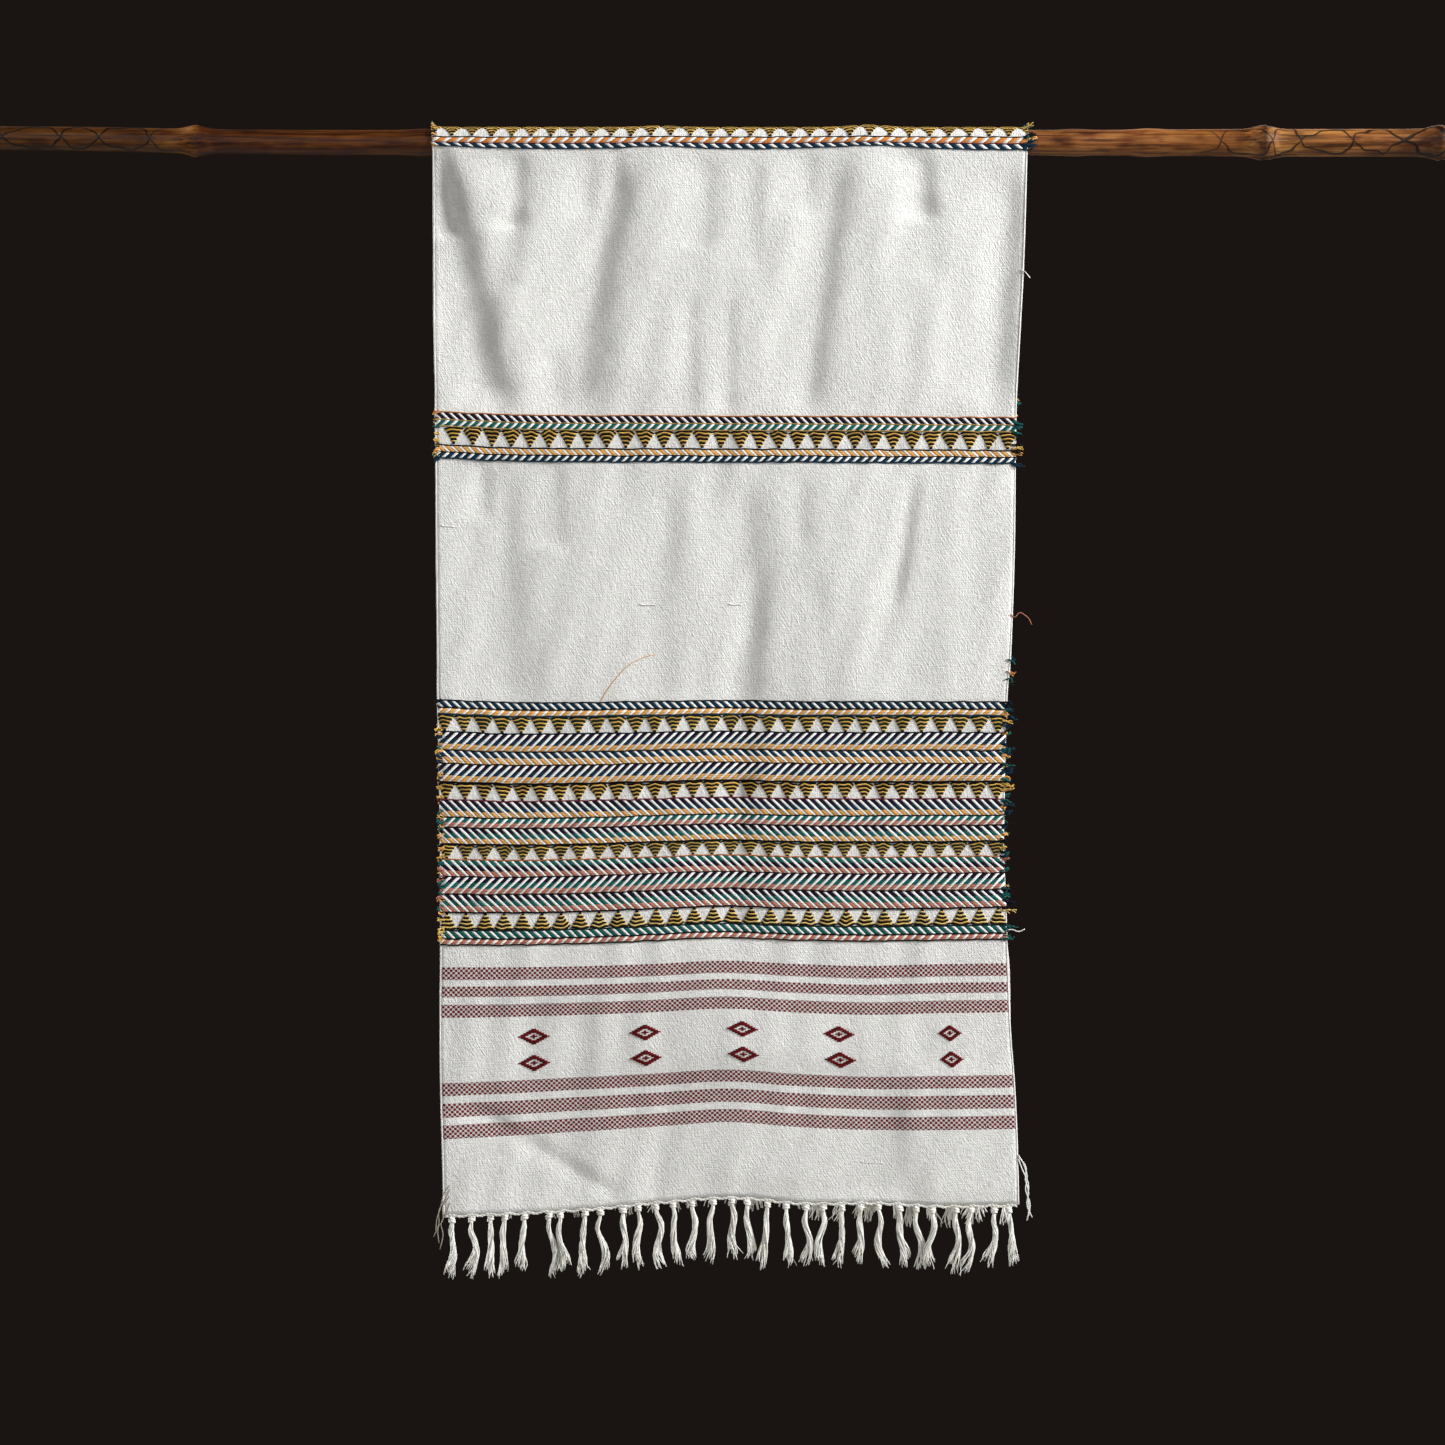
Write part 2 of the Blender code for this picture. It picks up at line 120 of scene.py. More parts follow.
# %% [markdown]
# ## Colours and nodes
#
# Colours are written as sRGB hex values, the way a picture editor shows them, and one function
# turns them into the linear values that the renderer counts in. One more function adds a
# shader node with its settings and its links, so each material below reads as a short list.

# %% Colour and node helpers


def linear(hex_colour):
    """Turn an sRGB hex colour into linear red, green, blue and alpha."""
    parts = [int(hex_colour[i:i + 2], 16) / 255 for i in (1, 3, 5)]
    return tuple(
        part / 12.92 if part <= 0.04045 else ((part + 0.055) / 1.055) ** 2.4 for part in parts
    ) + (1.0,)


def add_node(material, kind, inputs, stops=(), **settings):
    """Add a shader node with its settings and ramp stops, and set or link its inputs."""
    tree = material.node_tree
    node = tree.nodes.new("ShaderNode" + kind)
    for name, value in settings.items():
        setattr(node, name, value)
    for number, (place, colour) in enumerate(stops):
        elements = node.color_ramp.elements
        element = elements[number] if number < 2 else elements.new(place)
        element.position = place
        element.color = linear(colour)
    for key, value in inputs.items():
        if isinstance(value, bpy.types.NodeSocket):
            tree.links.new(value, node.inputs[key])
        else:
            node.inputs[key].default_value = value
    return node.outputs


def new_material(name):
    material = bpy.data.materials.new(name)
    material.use_nodes = True
    material.node_tree.nodes.clear()
    return material


def finish_material(material, **inputs):
    """Add the shader and the output to a material."""
    named = {name.replace("_", " "): value for name, value in inputs.items()}
    shader = add_node(material, "BsdfPrincipled", named)
    add_node(material, "OutputMaterial", {"Surface": shader[0]})
    print("material", material.name, "nodes", len(material.node_tree.nodes))


# %% [markdown]
# ## Floor and surroundings
#
# The floor is a plain matt board well below the fringe and outside the front picture, so the
# stole hangs before dark surroundings.

# %% World and floor


def mesh_of(shape, name):
    """Turn a bmesh into a mesh and free it."""
    mesh = bpy.data.meshes.new(name)
    shape.to_mesh(mesh)
    shape.free()
    return mesh


world = bpy.data.worlds.new("studio")
world.use_nodes = True
world.node_tree.nodes["Background"].inputs["Color"].default_value = linear("#1A1512")
bpy.context.scene.world = world

FLOOR_BELOW = 1.9
FLOOR_HALF = 1.7
FLOOR_CORNER = 0.2

board_shape = bmesh.new()
bmesh.ops.create_grid(board_shape, x_segments=1, y_segments=1, size=FLOOR_HALF)
bmesh.ops.bevel(board_shape, geom=list(board_shape.verts), offset=FLOOR_CORNER, segments=8,
                profile=0.5, affect="VERTICES", material=-1)
bmesh.ops.translate(board_shape, vec=(0, 0, -FLOOR_BELOW), verts=board_shape.verts)
floor_data = mesh_of(board_shape, "floor")
floor = bpy.data.objects.new("floor", floor_data)
bpy.context.scene.collection.objects.link(floor)
board = new_material("matt_painted_board")
board_grain = add_node(board, "TexNoise", {"Scale": 40.0, "Detail": 3.0})
board_tone = add_node(board, "ValToRGB", {"Fac": board_grain["Fac"]},
                      stops=((0.3, "#A5A4A0"), (0.7, "#A9A8A4")))
finish_material(board, Base_Color=board_tone["Color"], Roughness=1.0, Specular_IOR_Level=0.1)
floor_data.materials.append(board)
print("floor below the rod", FLOOR_BELOW)

# %% [markdown]
# ## The sizes of the stole
#
# These repeat the sizes of the solid model, so that the sheet lies where its solid lies. "Drop"
# is a distance below the rod's axis, and "across" runs from 0 at the left selvedge to 1 at the
# right one, seen from the front. The tables of the rod, the edges and the lifts are in
# millimetres. A lift is how far a row of weft rises above its level at a place across.

# %% Sizes
CLOTH_WALL = 1.4 * MM
SEAM = 0.3 * MM
ROD_RADIUS = 11.8 * MM
OUTSIDE = ROD_RADIUS + SEAM + CLOTH_WALL
OVER_ROD_DROP = 18 * MM
OVER_LENGTH = math.pi * OUTSIDE
FRONT_HEM = 1004 * MM
BACK_HEM = 957 * MM
WIDE_BAND_HEIGHT = 225.9 * MM
CLOTH_WIDTH = 560 * MM

Fall = namedtuple("Fall", "name side narrow_top wide_top stripes_top stripes_end hem")
FRONT = Fall("front", -1, 259 * MM, 529.5 * MM, 778 * MM, 932.6 * MM, FRONT_HEM)
BACK = Fall("back", 1, 236 * MM, 487 * MM, 731 * MM, 885.6 * MM, BACK_HEM)

ROD_TAPER = ((-720, 11.3), (-505, 11.4), (-300, 11.8), (300, 11.8), (520, 12.8), (720, 12.9))
ROD_BEND = ((-690, 4.2), (-600, 3.4), (-505, 1.4), (-400, 0.2), (-310, 0), (720, 0))
RodJoint = namedtuple("RodJoint", "x swelling half_length")
ROD_JOINTS = (
    RodJoint(-505 * MM, 3.6 * MM, 11 * MM), RodJoint(-288 * MM, 1.2 * MM, 16 * MM),
    RodJoint(-66 * MM, 1.3 * MM, 22 * MM), RodJoint(130 * MM, 2.2 * MM, 24 * MM),
    RodJoint(325 * MM, 1.0 * MM, 14 * MM), RodJoint(396 * MM, 1.2 * MM, 14 * MM),
    RodJoint(505 * MM, 3.8 * MM, 12 * MM), RodJoint(672 * MM, 3.6 * MM, 12 * MM),
)

Edge = namedtuple("Edge", "drop left right")
FRONT_EDGES = (
    Edge(0, 281, 281), Edge(113, 280.5, 277.5), Edge(197, 279.5, 273), Edge(245, 278.5, 270.5),
    Edge(387, 277.5, 268.5), Edge(489, 276.5, 265), Edge(519, 276.5, 262), Edge(580, 275, 260),
    Edge(670, 273.5, 258.5), Edge(717, 273.5, 260.5), Edge(764, 273.5, 262),
    Edge(840, 274, 265), Edge(886, 273.5, 268.5), Edge(934, 272, 271), Edge(1012, 270.5, 273),
)
BACK_EDGES = (
    Edge(0, 281, 281), Edge(113, 280, 276), Edge(197, 279, 271), Edge(338, 278, 267),
    Edge(434, 277, 265), Edge(560, 276, 258), Edge(688, 275, 257.5), Edge(740, 274.5, 262),
    Edge(780, 274, 266), Edge(860, 274, 267), Edge(965, 273, 270),
)

CENTRE_LEVEL = 12 * MM
Lift = namedtuple("Lift", "across centre narrow wide_top wide_end stripes_top stripes_end hem")
LIFTS = (
    Lift(0.00, 5.2, 4.2, 2.4, -3.8, -2.4, -9.6, -9.9),
    Lift(0.12, 2.2, 1.1, -0.5, -3.8, -2.4, -6.6, -7.5),
    Lift(0.25, 1.6, 0.0, -0.5, -2.4, -1.4, -2.2, -3.8),
    Lift(0.38, 3.8, 0.0, 0.5, 0.5, 0.9, 2.4, 2.8),
    Lift(0.50, 1.4, -0.5, 1.4, 3.0, 3.8, 6.6, 7.1),
    Lift(0.62, 2.2, -0.5, 0.5, 0.9, 0.9, 1.9, 1.9),
    Lift(0.75, 4.6, -0.9, 0.3, 0.0, -1.1, -0.9, 2.4),
    Lift(0.87, 1.2, -1.4, 0.4, 0.7, 0.5, -0.5, -0.5),
    Lift(1.00, 0.4, -1.9, -0.1, 2.0, 1.4, 0.5, 0.5),
)
print("whole length hem to hem", round(FRONT_HEM + OVER_LENGTH + BACK_HEM, 3))

# %% [markdown]
# ## The folds
#
# Cotton hung over a rod falls in soft uneven troughs that start at the rod and die out down
# the cloth, and the stiff bands flatten them. Each row of the table is one trough, or one ridge
# where its depth is negative: its place from left to right at its top, middle and end, how far
# down it runs, how deep it is and how wide, all in millimetres. The main ones are in the solid
# model too, and the fine ones are only here.

# %% Fold tables
Fold = namedtuple("Fold", "name x_top x_mid x_end top end depth half_width")
FRONT_FOLDS = (
    Fold("left edge trough", -283, -249, -217, 8, 272, 7.0, 18),
    Fold("left edge ridge", -236, -222, -205, 20, 250, -2.5, 20),
    Fold("short left trough", -202, -204, -206, 8, 90, 4.2, 12),
    Fold("left trough", -106, -129, -154, 6, 274, 6.4, 20),
    Fold("left ridge", -66, -92, -108, 14, 250, -2.0, 20),
    Fold("short middle trough", -23, -26, -28, 10, 110, 3.0, 12),
    Fold("right trough", 103, 84, 68, 6, 272, 4.4, 14),
    Fold("right ridge", 136, 122, 108, 14, 250, -1.5, 20),
    Fold("short right trough", 176, 180, 184, 8, 80, 3.5, 11),
    Fold("right edge trough", 262, 257, 240, 8, 255, 5.0, 15),
    Fold("middle left trough", -216, -215, -210, 285, 545, 3.8, 18),
    Fold("middle left ridge", -168, -160, -158, 300, 540, -1.2, 24),
    Fold("middle trough", -66, -66, -64, 300, 545, 2.2, 18),
    Fold("middle right trough", 8, 17, 16, 295, 560, 3.4, 15),
    Fold("middle right ridge", 50, 52, 53, 310, 540, -1.5, 20),
    Fold("wide band crease", 6, 8, 10, 470, 790, 2.5, 20),
    Fold("far right trough", 162, 158, 170, 300, 550, 2.2, 20),
    Fold("broad right swell", 118, 118, 118, 285, 560, -4.5, 50),
    Fold("low left trough", -150, -160, -172, 800, 1010, 3.0, 30),
    Fold("low broad hollow", 15, 15, 15, 860, 1100, 5.0, 80),
    Fold("low middle ridge", -10, 5, 12, 780, 1010, -3.0, 40),
    Fold("low right trough", 124, 128, 132, 860, 1010, 3.0, 26),
    Fold("low right ridge", 196, 200, 205, 860, 1010, -2.0, 30),
)
BACK_FOLDS = (
    Fold("right edge trough", 268, 246, 232, 8, 250, 5.5, 20),
    Fold("right trough", 150, 132, 124, 8, 240, 5.0, 19),
    Fold("right ridge", 116, 100, 94, 14, 230, -2.0, 21),
    Fold("middle trough", 6, -8, -18, 8, 245, 4.5, 17),
    Fold("left ridge", -96, -84, -80, 14, 230, -2.0, 22),
    Fold("left trough", -142, -126, -118, 8, 240, 5.0, 16),
    Fold("left edge trough", -262, -246, -236, 8, 225, 4.5, 16),
    Fold("middle left trough", -178, -170, -168, 280, 500, 3.2, 20),
    Fold("middle trough low", 40, 36, 34, 290, 510, 3.2, 18),
    Fold("middle ridge low", -20, -24, -26, 290, 500, -1.5, 26),
    Fold("far right trough", 190, 184, 186, 280, 500, 3.2, 20),
    Fold("low right trough", 150, 160, 166, 740, 965, 3.0, 30),
    Fold("low middle ridge", 20, 6, -4, 730, 965, -3.0, 40),
    Fold("low left trough", -110, -118, -124, 790, 965, 3.0, 28),
)
FINE_FRONT_FOLDS = (
    Fold("pinch at the left edge", -275, -269, -260, 4, 100, 4.6, 9),
    Fold("pinch at the left", -109, -107, -106, 6, 55, 1.6, 6),
    Fold("pinch at the right", 184, 188, 192, 8, 84, 0.9, 6),
    Fold("short line right of the middle", 24, 22, 20, 12, 125, 1.9, 8),
    Fold("short line before the right trough", 73, 72, 70, 8, 75, 2.6, 9),
    Fold("short line before the left trough", -132, -134, -137, 8, 75, 2.0, 8),
    Fold("second pinch at the left", -200, -203, -205, 8, 120, 0.8, 7),
    Fold("tail of the short left trough", -205, -207, -209, 60, 150, 2.0, 14),
    Fold("tail of the short right trough", 182, 186, 191, 50, 135, 1.8, 13),
    Fold("thin line left of the middle", -38, -37, -36, 140, 262, 1.7, 6),
    Fold("thin line right of the middle", 0, -1, -3, 145, 262, 2.1, 6),
    Fold("fold beside the left trough", -166, -163, -160, 195, 262, 1.8, 9),
    Fold("crease in the middle plain", 177, 166, 154, 300, 450, 2.5, 5),
    Fold("short line below the narrow band", -234, -233, -232, 300, 362, 2.3, 6),
    Fold("short trough below the narrow band", -168, -166, -164, 296, 390, 3.3, 11),
    Fold("short line right of it", 66, 66, 67, 306, 385, 1.3, 7),
    Fold("faint line above the wide band", 82, 84, 86, 400, 535, 1.2, 9),
    Fold("line above the wide band", 191, 192, 192, 400, 530, 0.9, 9),
    Fold("kink in the wide band", 12, 8, 5, 545, 765, 1.2, 6),
    Fold("slanting crease below the stripes", -262, -179, -96, 890, 1000, 2.7, 8),
    Fold("low line left", -230, -222, -216, 880, 960, 1.0, 9),
    Fold("low line middle", -60, -66, -70, 880, 1004, 0.9, 9),
    Fold("low line right", 150, 156, 160, 900, 1004, 1.0, 9),
)
FINE_BACK_FOLDS = (
    Fold("pinch at the left", -180, -186, -192, 10, 62, 1.8, 5),
    Fold("pinch at the right", 70, 66, 64, 10, 50, 1.6, 5),
    Fold("crease in the middle plain", -96, -104, -120, 300, 430, 1.8, 6),
    Fold("short line below the narrow band", 110, 104, 100, 290, 360, 1.3, 7),
    Fold("faint line above the wide band", -60, -58, -58, 380, 485, 1.1, 8),
    Fold("kink in the wide band", 60, 64, 66, 500, 710, 1.0, 7),
    Fold("low line right", 80, 74, 70, 850, 957, 1.1, 9),
    Fold("low line left", -200, -204, -206, 840, 957, 1.1, 9),
)
print("folds", len(FRONT_FOLDS), len(BACK_FOLDS))

# %% [markdown]
# ## How a flat piece is hung
#
# The stole and everything woven into it are first made flat, the way they lie on the loom, and
# then hung by one function. It takes places across the cloth, distances along it from the rod
# ("run", below zero on the front fall), and heights above the cloth's outer face. It gives
# places in the room. So the bands follow every fold of the cloth, however it is reshaped.

# %% Smooth curves


def smooth_through(places, values, wanted):
    """Read a smooth curve through knots. A knot may hold one value for each wanted place."""
    places, values = np.asarray(places, float), np.asarray(values, float)
    last = len(places) - 1
    before = np.maximum(np.arange(last + 1) - 1, 0)
    after = np.minimum(np.arange(last + 1) + 1, last)
    steps = (places[after] - places[before]).reshape((-1,) + (1,) * (values.ndim - 1))
    slopes = (values[after] - values[before]) / steps
    wanted = np.clip(wanted, places[0], places[-1])
    i = np.clip(np.searchsorted(places, wanted, side="right") - 1, 0, last - 1)
    length = places[i + 1] - places[i]
    t = (wanted - places[i]) / length

    def read(table, k):
        return table[k] if table.ndim == 1 else table[k, np.arange(len(wanted))]

    return (
        (1 + 2 * t) * (1 - t) ** 2 * read(values, i) + t * (1 - t) ** 2 * length * read(slopes, i)
        + t * t * (3 - 2 * t) * read(values, i + 1) - t * t * (1 - t) * length * read(slopes, i + 1)
    )


def ease(t):
    t = np.clip(t, 0, 1)
    return t * t * (3 - 2 * t)


def columns(rows, *names):
    """Read named columns of a table as lists."""
    return [[getattr(row, name) for row in rows] for name in names]


# %% Rod size


def rod_radius(x):
    places, radii = zip(*ROD_TAPER)
    radius = smooth_through(np.array(places) * MM, np.array(radii) * MM, x)
    for joint in ROD_JOINTS:
        radius = radius + joint.swelling * np.exp(-((x - joint.x) / joint.half_length) ** 2)
    return radius


def rod_rise(x):
    places, rises = zip(*ROD_BEND)
    return smooth_through(np.array(places) * MM, np.array(rises) * MM, x)


print("rod radius at the middle", rod_radius(np.array([0.0])))

# %% [markdown]
# Handwoven cloth is never quite flat between its folds. A few low waves of different lengths,
# longer down the cloth than across it, give that unevenness. They fade out at the rod, where
# the cloth is pulled tight.

# %% Fold depth and unevenness
UNEVENNESS = 0.35 * MM
UNEVEN_FADE = 50 * MM
SLOW_SIDE = 2.3
FOLD_FADE_IN = 0.2
FOLD_FADE_OUT = 0.15
waves = random.Random(5)
UNEVEN_WAVES = [
    (waves.uniform(60, 210), waves.uniform(8, 60), waves.uniform(0, 6.3)) for _ in range(9)
]


def unevenness(x, drop):
    total = 0
    for across_rate, down_rate, phase in UNEVEN_WAVES:
        bend = 0.8 * np.sin(down_rate * drop * 1.7 + phase)
        total = total + np.sin(across_rate * x + down_rate * drop + phase + bend)
    return UNEVENNESS * total / 2 * ease((drop - OVER_ROD_DROP) / UNEVEN_FADE)


def fold_depth(folds, side, x, drop):
    """Add up how far the folds push the cloth in. Each is steep on one side, slow on the other."""
    total = np.zeros(len(x))
    for fold in folds:
        down = (drop / MM - fold.top) / (fold.end - fold.top)
        path = smooth_through((0, 0.5, 1), (fold.x_top, fold.x_mid, fold.x_end), down)
        off_path = (path - x / MM) * side / fold.half_width
        off_path = np.where(off_path * fold.depth < 0, off_path / SLOW_SIDE, off_path)
        strength = ease(down / FOLD_FADE_IN) * ease((1 - down) / FOLD_FADE_OUT)
        total += np.where((down > 0) & (down < 1),
                          fold.depth * strength * np.exp(-off_path ** 2), 0)
    return total * MM


# %% Hang a fall
OFF_ROD_LENGTH = 90 * MM
NEAR_STEP = 0.4 * MM
LIFT_LEVELS = ("centre", "narrow", "wide_top", "wide_end", "stripes_top", "stripes_end", "hem")


def weft_lift(fall, across, drop):
    """Find how far the weft rows lie above their levels."""
    place = across if fall.side < 0 else 1 - across
    stations = columns(LIFTS, "across")[0]
    levels = [0, CENTRE_LEVEL, fall.narrow_top, fall.wide_top,
              fall.wide_top + WIDE_BAND_HEIGHT, fall.stripes_top, fall.stripes_end, fall.hem]
    lifts = [np.zeros(len(place))]
    for column in columns(LIFTS, *LIFT_LEVELS):
        lifts.append(smooth_through(stations, np.array(column) * MM, place))
    return smooth_through(levels, np.array(lifts), drop)


def hang_fall(fall, across, drop):
    """Place points of a fall's outer face."""
    edges = FRONT_EDGES if fall.side < 0 else BACK_EDGES
    folds = (FRONT_FOLDS + FINE_FRONT_FOLDS) if fall.side < 0 else (BACK_FOLDS + FINE_BACK_FOLDS)
    drops, lefts, rights = (np.array(column) * MM for column in
                            columns(edges, "drop", "left", "right"))
    left = smooth_through(drops, lefts, drop)
    right = smooth_through(drops, rights, drop)
    x = -left + across * (left + right)
    below_rod = ease((drop - OVER_ROD_DROP) / OFF_ROD_LENGTH)
    outside = rod_radius(x) * (1 - below_rod) + ROD_RADIUS * below_rod + SEAM + CLOTH_WALL
    outside -= fold_depth(folds, fall.side, x, drop) + unevenness(x + 0.3 * fall.side, drop)
    return np.stack([x, fall.side * outside, weft_lift(fall, across, drop) - drop], axis=1)


def lie(across, run):
    """Place points of the whole hanging cloth's outer face."""
    placed = np.empty((len(run), 3))
    front, back = run <= 0, run >= OVER_LENGTH
    over = ~(front | back)
    placed[front] = hang_fall(FRONT, across[front], -run[front])
    placed[back] = hang_fall(BACK, across[back], run[back] - OVER_LENGTH)
    x = hang_fall(FRONT, across[over], np.zeros(over.sum()))[:, 0]
    angle = run[over] / OUTSIDE
    outside = rod_radius(x) + SEAM + CLOTH_WALL
    placed[over] = np.stack([x, -outside * np.cos(angle), outside * np.sin(angle)], axis=1)
    return placed


def hang(across, run, height=0.0):
    """Place points at a height above the hanging cloth's outer face."""
    across, run = np.asarray(across, float), np.asarray(run, float)
    placed = lie(across, run)
    sideways = lie(across + NEAR_STEP / CLOTH_WIDTH, run) - placed
    outward = np.cross(sideways, lie(across, run + NEAR_STEP) - placed)
    outward /= np.linalg.norm(outward, axis=1)[:, None]
    return placed + outward * np.reshape(height, (-1, 1))


print("front hem middle", hang([0.5], [-FRONT_HEM])[0].round(4))

# %% [markdown]
# ## Pieces
#
# A finished piece sits at the origin with its place in its mesh. It rides on the frame's one
# body, it may take the place of some of the frame's solids, and it takes one material.

# %% Piece helpers


def add_piece(name, mesh, material, replaced=()):
    """Add a finished mesh to the scene as a piece of the stole."""
    mesh.name = name
    mesh.materials.clear()
    mesh.materials.append(material)
    mesh.shade_smooth()
    made = bpy.data.objects.new(name, mesh)
    bpy.context.scene.collection.objects.link(made)
    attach(made, "root")
    if replaced:
        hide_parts(*replaced)
    print("piece", name, "faces", len(mesh.polygons))
    return made


def points_of(mesh):
    flat = np.empty(len(mesh.vertices) * 3)
    mesh.vertices.foreach_get("co", flat)
    return flat.reshape(-1, 3)


def corner_points(mesh):
    """List the point of each face corner."""
    numbers = np.empty(len(mesh.loops), int)
    mesh.loops.foreach_get("vertex_index", numbers)
    return numbers


def move_points(mesh, places):
    mesh.vertices.foreach_set("co", np.ascontiguousarray(places).ravel())
    mesh.update()


def lay_uv(mesh, places):
    """Give a mesh the UV map that the woven materials read, from a place for each point."""
    layer = mesh.uv_layers.new(name="loom")
    layer.data.foreach_set("uv", places[corner_points(mesh)].ravel())


# %% [markdown]
# ## Undyed handwoven cotton
#
# The ground is plain weave in undyed cotton. Its threads are uneven: thick short lengths,
# called slubs, show as small pale and dark dashes along the weft and the warp. Real threads
# are about 0.5 mm apart, which is too fine to show here, so they are drawn 1.3 mm apart. The
# stripes are maroon weft over and under the ground, drawn as a coarser checker than the real
# one. They lie flush, so they are colour in the same material. The sheet's UV map holds real
# metres: across the cloth from its middle, and up from its own hem.

# %% Ground cotton
THREAD_SPACING_MM = 1.3
WEFT_SLUBS_A_METRE = (110, 900, 1)
WARP_SLUBS_A_METRE = (950, 90, 1)
STRIPE_CHECK_MM = (2.5, 2.2)
STRIPE_RAMP_LENGTH = 250 * MM
STRIPE_HALF_LENGTH = 279 * MM
CRINKLE_SLANT = math.radians(-56)
CRINKLE_SIZE = (8.0 * MM, 1.5 * MM, 1)
Stripe = namedtuple("Stripe", "below_top height")
STRIPES = (
    Stripe(0.4, 10.8), Stripe(17.8, 9.0), Stripe(34.0, 11.8), Stripe(104.2, 12.4),
    Stripe(122.6, 13.0), Stripe(142.6, 12.4),
)


def stripe_stops():
    """List where the stripes begin and end along the ramp that starts at the hem."""
    stops = [(0, "#000000")]
    for stripe in reversed(STRIPES):
        top = FRONT.hem - FRONT.stripes_top - stripe.below_top * MM
        stops.append(((top - stripe.height * MM) / STRIPE_RAMP_LENGTH, "#FFFFFF"))
        stops.append((top / STRIPE_RAMP_LENGTH, "#000000"))
    return stops


ground = new_material("plain_woven_undyed_cotton")
loom = add_node(ground, "UVMap", {}, uv_map="loom")[0]
split = add_node(ground, "SeparateXYZ", {"Vector": loom})
slubs = []
for rate in (WEFT_SLUBS_A_METRE, WARP_SLUBS_A_METRE):
    spread = add_node(ground, "Mapping", {"Vector": loom, "Scale": rate})[0]
    slubs.append(add_node(ground, "TexNoise", {
        "Vector": spread, "Scale": 1.0, "Detail": 3.0})["Fac"])
weft_slub, warp_slub = slubs
crossing = add_node(ground, "TexNoise", {
    "Vector": add_node(ground, "Mapping", {
        "Vector": loom, "Rotation": (0, 0, CRINKLE_SLANT), "Scale": CRINKLE_SIZE},
        vector_type="TEXTURE")[0],
    "Scale": 1.0, "Detail": 2.0, "Roughness": 0.6})["Fac"]
weft_tone = add_node(ground, "ValToRGB", {"Fac": weft_slub}, stops=(
    (0.32, "#E2E2E0"), (0.66, "#F4F4F2"), (0.5, "#EDEDEB")))["Color"]
warp_tone = add_node(ground, "ValToRGB", {"Fac": warp_slub},
                     stops=((0.3, "#EDEDEB"), (0.6, "#FFFFFF")))["Color"]
tone = add_node(ground, "Mix", {0: 0.8, 6: weft_tone, 7: warp_tone},
                data_type="RGBA", blend_type="MULTIPLY")[2]
print("stripes", len(STRIPES))

# %% Stripes in the ground
from_hem = add_node(ground, "Math", {0: split["Y"], 1: 1 / STRIPE_RAMP_LENGTH},
                    operation="MULTIPLY")[0]
in_stripe = add_node(ground, "ValToRGB", {"Fac": from_hem}, stops=stripe_stops())
in_stripe[0].node.color_ramp.interpolation = "CONSTANT"
from_middle = add_node(ground, "Math", {0: split["X"]}, operation="ABSOLUTE")[0]
off_edge = add_node(ground, "Math", {0: from_middle, 1: STRIPE_HALF_LENGTH},
                    operation="LESS_THAN")[0]
check = add_node(ground, "TexChecker", {
    "Vector": add_node(ground, "Mapping", {
        "Vector": loom, "Scale": (*[1000 / side for side in STRIPE_CHECK_MM], 0)})[0],
    "Scale": 1.0, "Color1": (1, 1, 1, 1), "Color2": (0.3, 0.3, 0.3, 1)})["Color"]
stripe_share = add_node(ground, "Math", {0: in_stripe["Color"], 1: off_edge},
                        operation="MULTIPLY")[0]
stripe_share = add_node(ground, "Math", {0: stripe_share, 1: check}, operation="MULTIPLY")[0]
maroon = add_node(ground, "ValToRGB", {"Fac": weft_slub},
                  stops=((0.35, "#4E0710"), (0.65, "#7C1420")))["Color"]
ground_colour = add_node(ground, "Mix", {0: stripe_share, 6: tone, 7: maroon},
                         data_type="RGBA")[2]

# %% Relief of the ground
weave = add_node(ground, "TexChecker", {
    "Vector": add_node(ground, "Mapping", {
        "Vector": loom, "Scale": (1000 / THREAD_SPACING_MM, 1000 / THREAD_SPACING_MM, 0)})[0],
    "Scale": 1.0})["Fac"]
relief = add_node(ground, "Math", {0: weft_slub, 1: warp_slub}, operation="ADD")[0]
relief = add_node(ground, "Math", {0: crossing, 1: 1.4, 2: relief}, operation="MULTIPLY_ADD")[0]
relief = add_node(ground, "Math", {0: weave, 1: 0.12, 2: relief}, operation="MULTIPLY_ADD")[0]
ground_bump = add_node(ground, "Bump", {"Height": relief, "Strength": 0.8, "Distance": 0.0009})
finish_material(ground, Base_Color=ground_colour, Normal=ground_bump[0], Roughness=0.9,
                Specular_IOR_Level=0.2)

# %% [markdown]
# ## The woven length
#
# One flat grid, as long as the stole from hem to hem, is hung over the rod in one go. A
# Solidify modifier gives it the thickness of real handwoven cotton, inwards from its outer
# face. A simulation could drape it, but the folds of this stole are known and placed one by one.

# %% Cloth
CLOTH_THICKNESS = 0.9 * MM
CLOTH_COLUMNS = 112
CLOTH_ROWS = 396
WHOLE_LENGTH = FRONT_HEM + OVER_LENGTH + BACK_HEM


def woven_length():
    sheet = bmesh.new()
    bmesh.ops.create_grid(sheet, x_segments=CLOTH_COLUMNS, y_segments=CLOTH_ROWS, size=0.5)
    mesh = mesh_of(sheet, "stole_cloth")
    flat = points_of(mesh)
    across = flat[:, 0] + 0.5
    run = -FRONT_HEM + (flat[:, 1] + 0.5) * WHOLE_LENGTH
    above_hem = np.minimum(run + FRONT_HEM, OVER_LENGTH + BACK_HEM - run)
    lay_uv(mesh, np.stack([(across - 0.5) * CLOTH_WIDTH, above_hem], axis=1))
    move_points(mesh, hang(across, run))
    return mesh


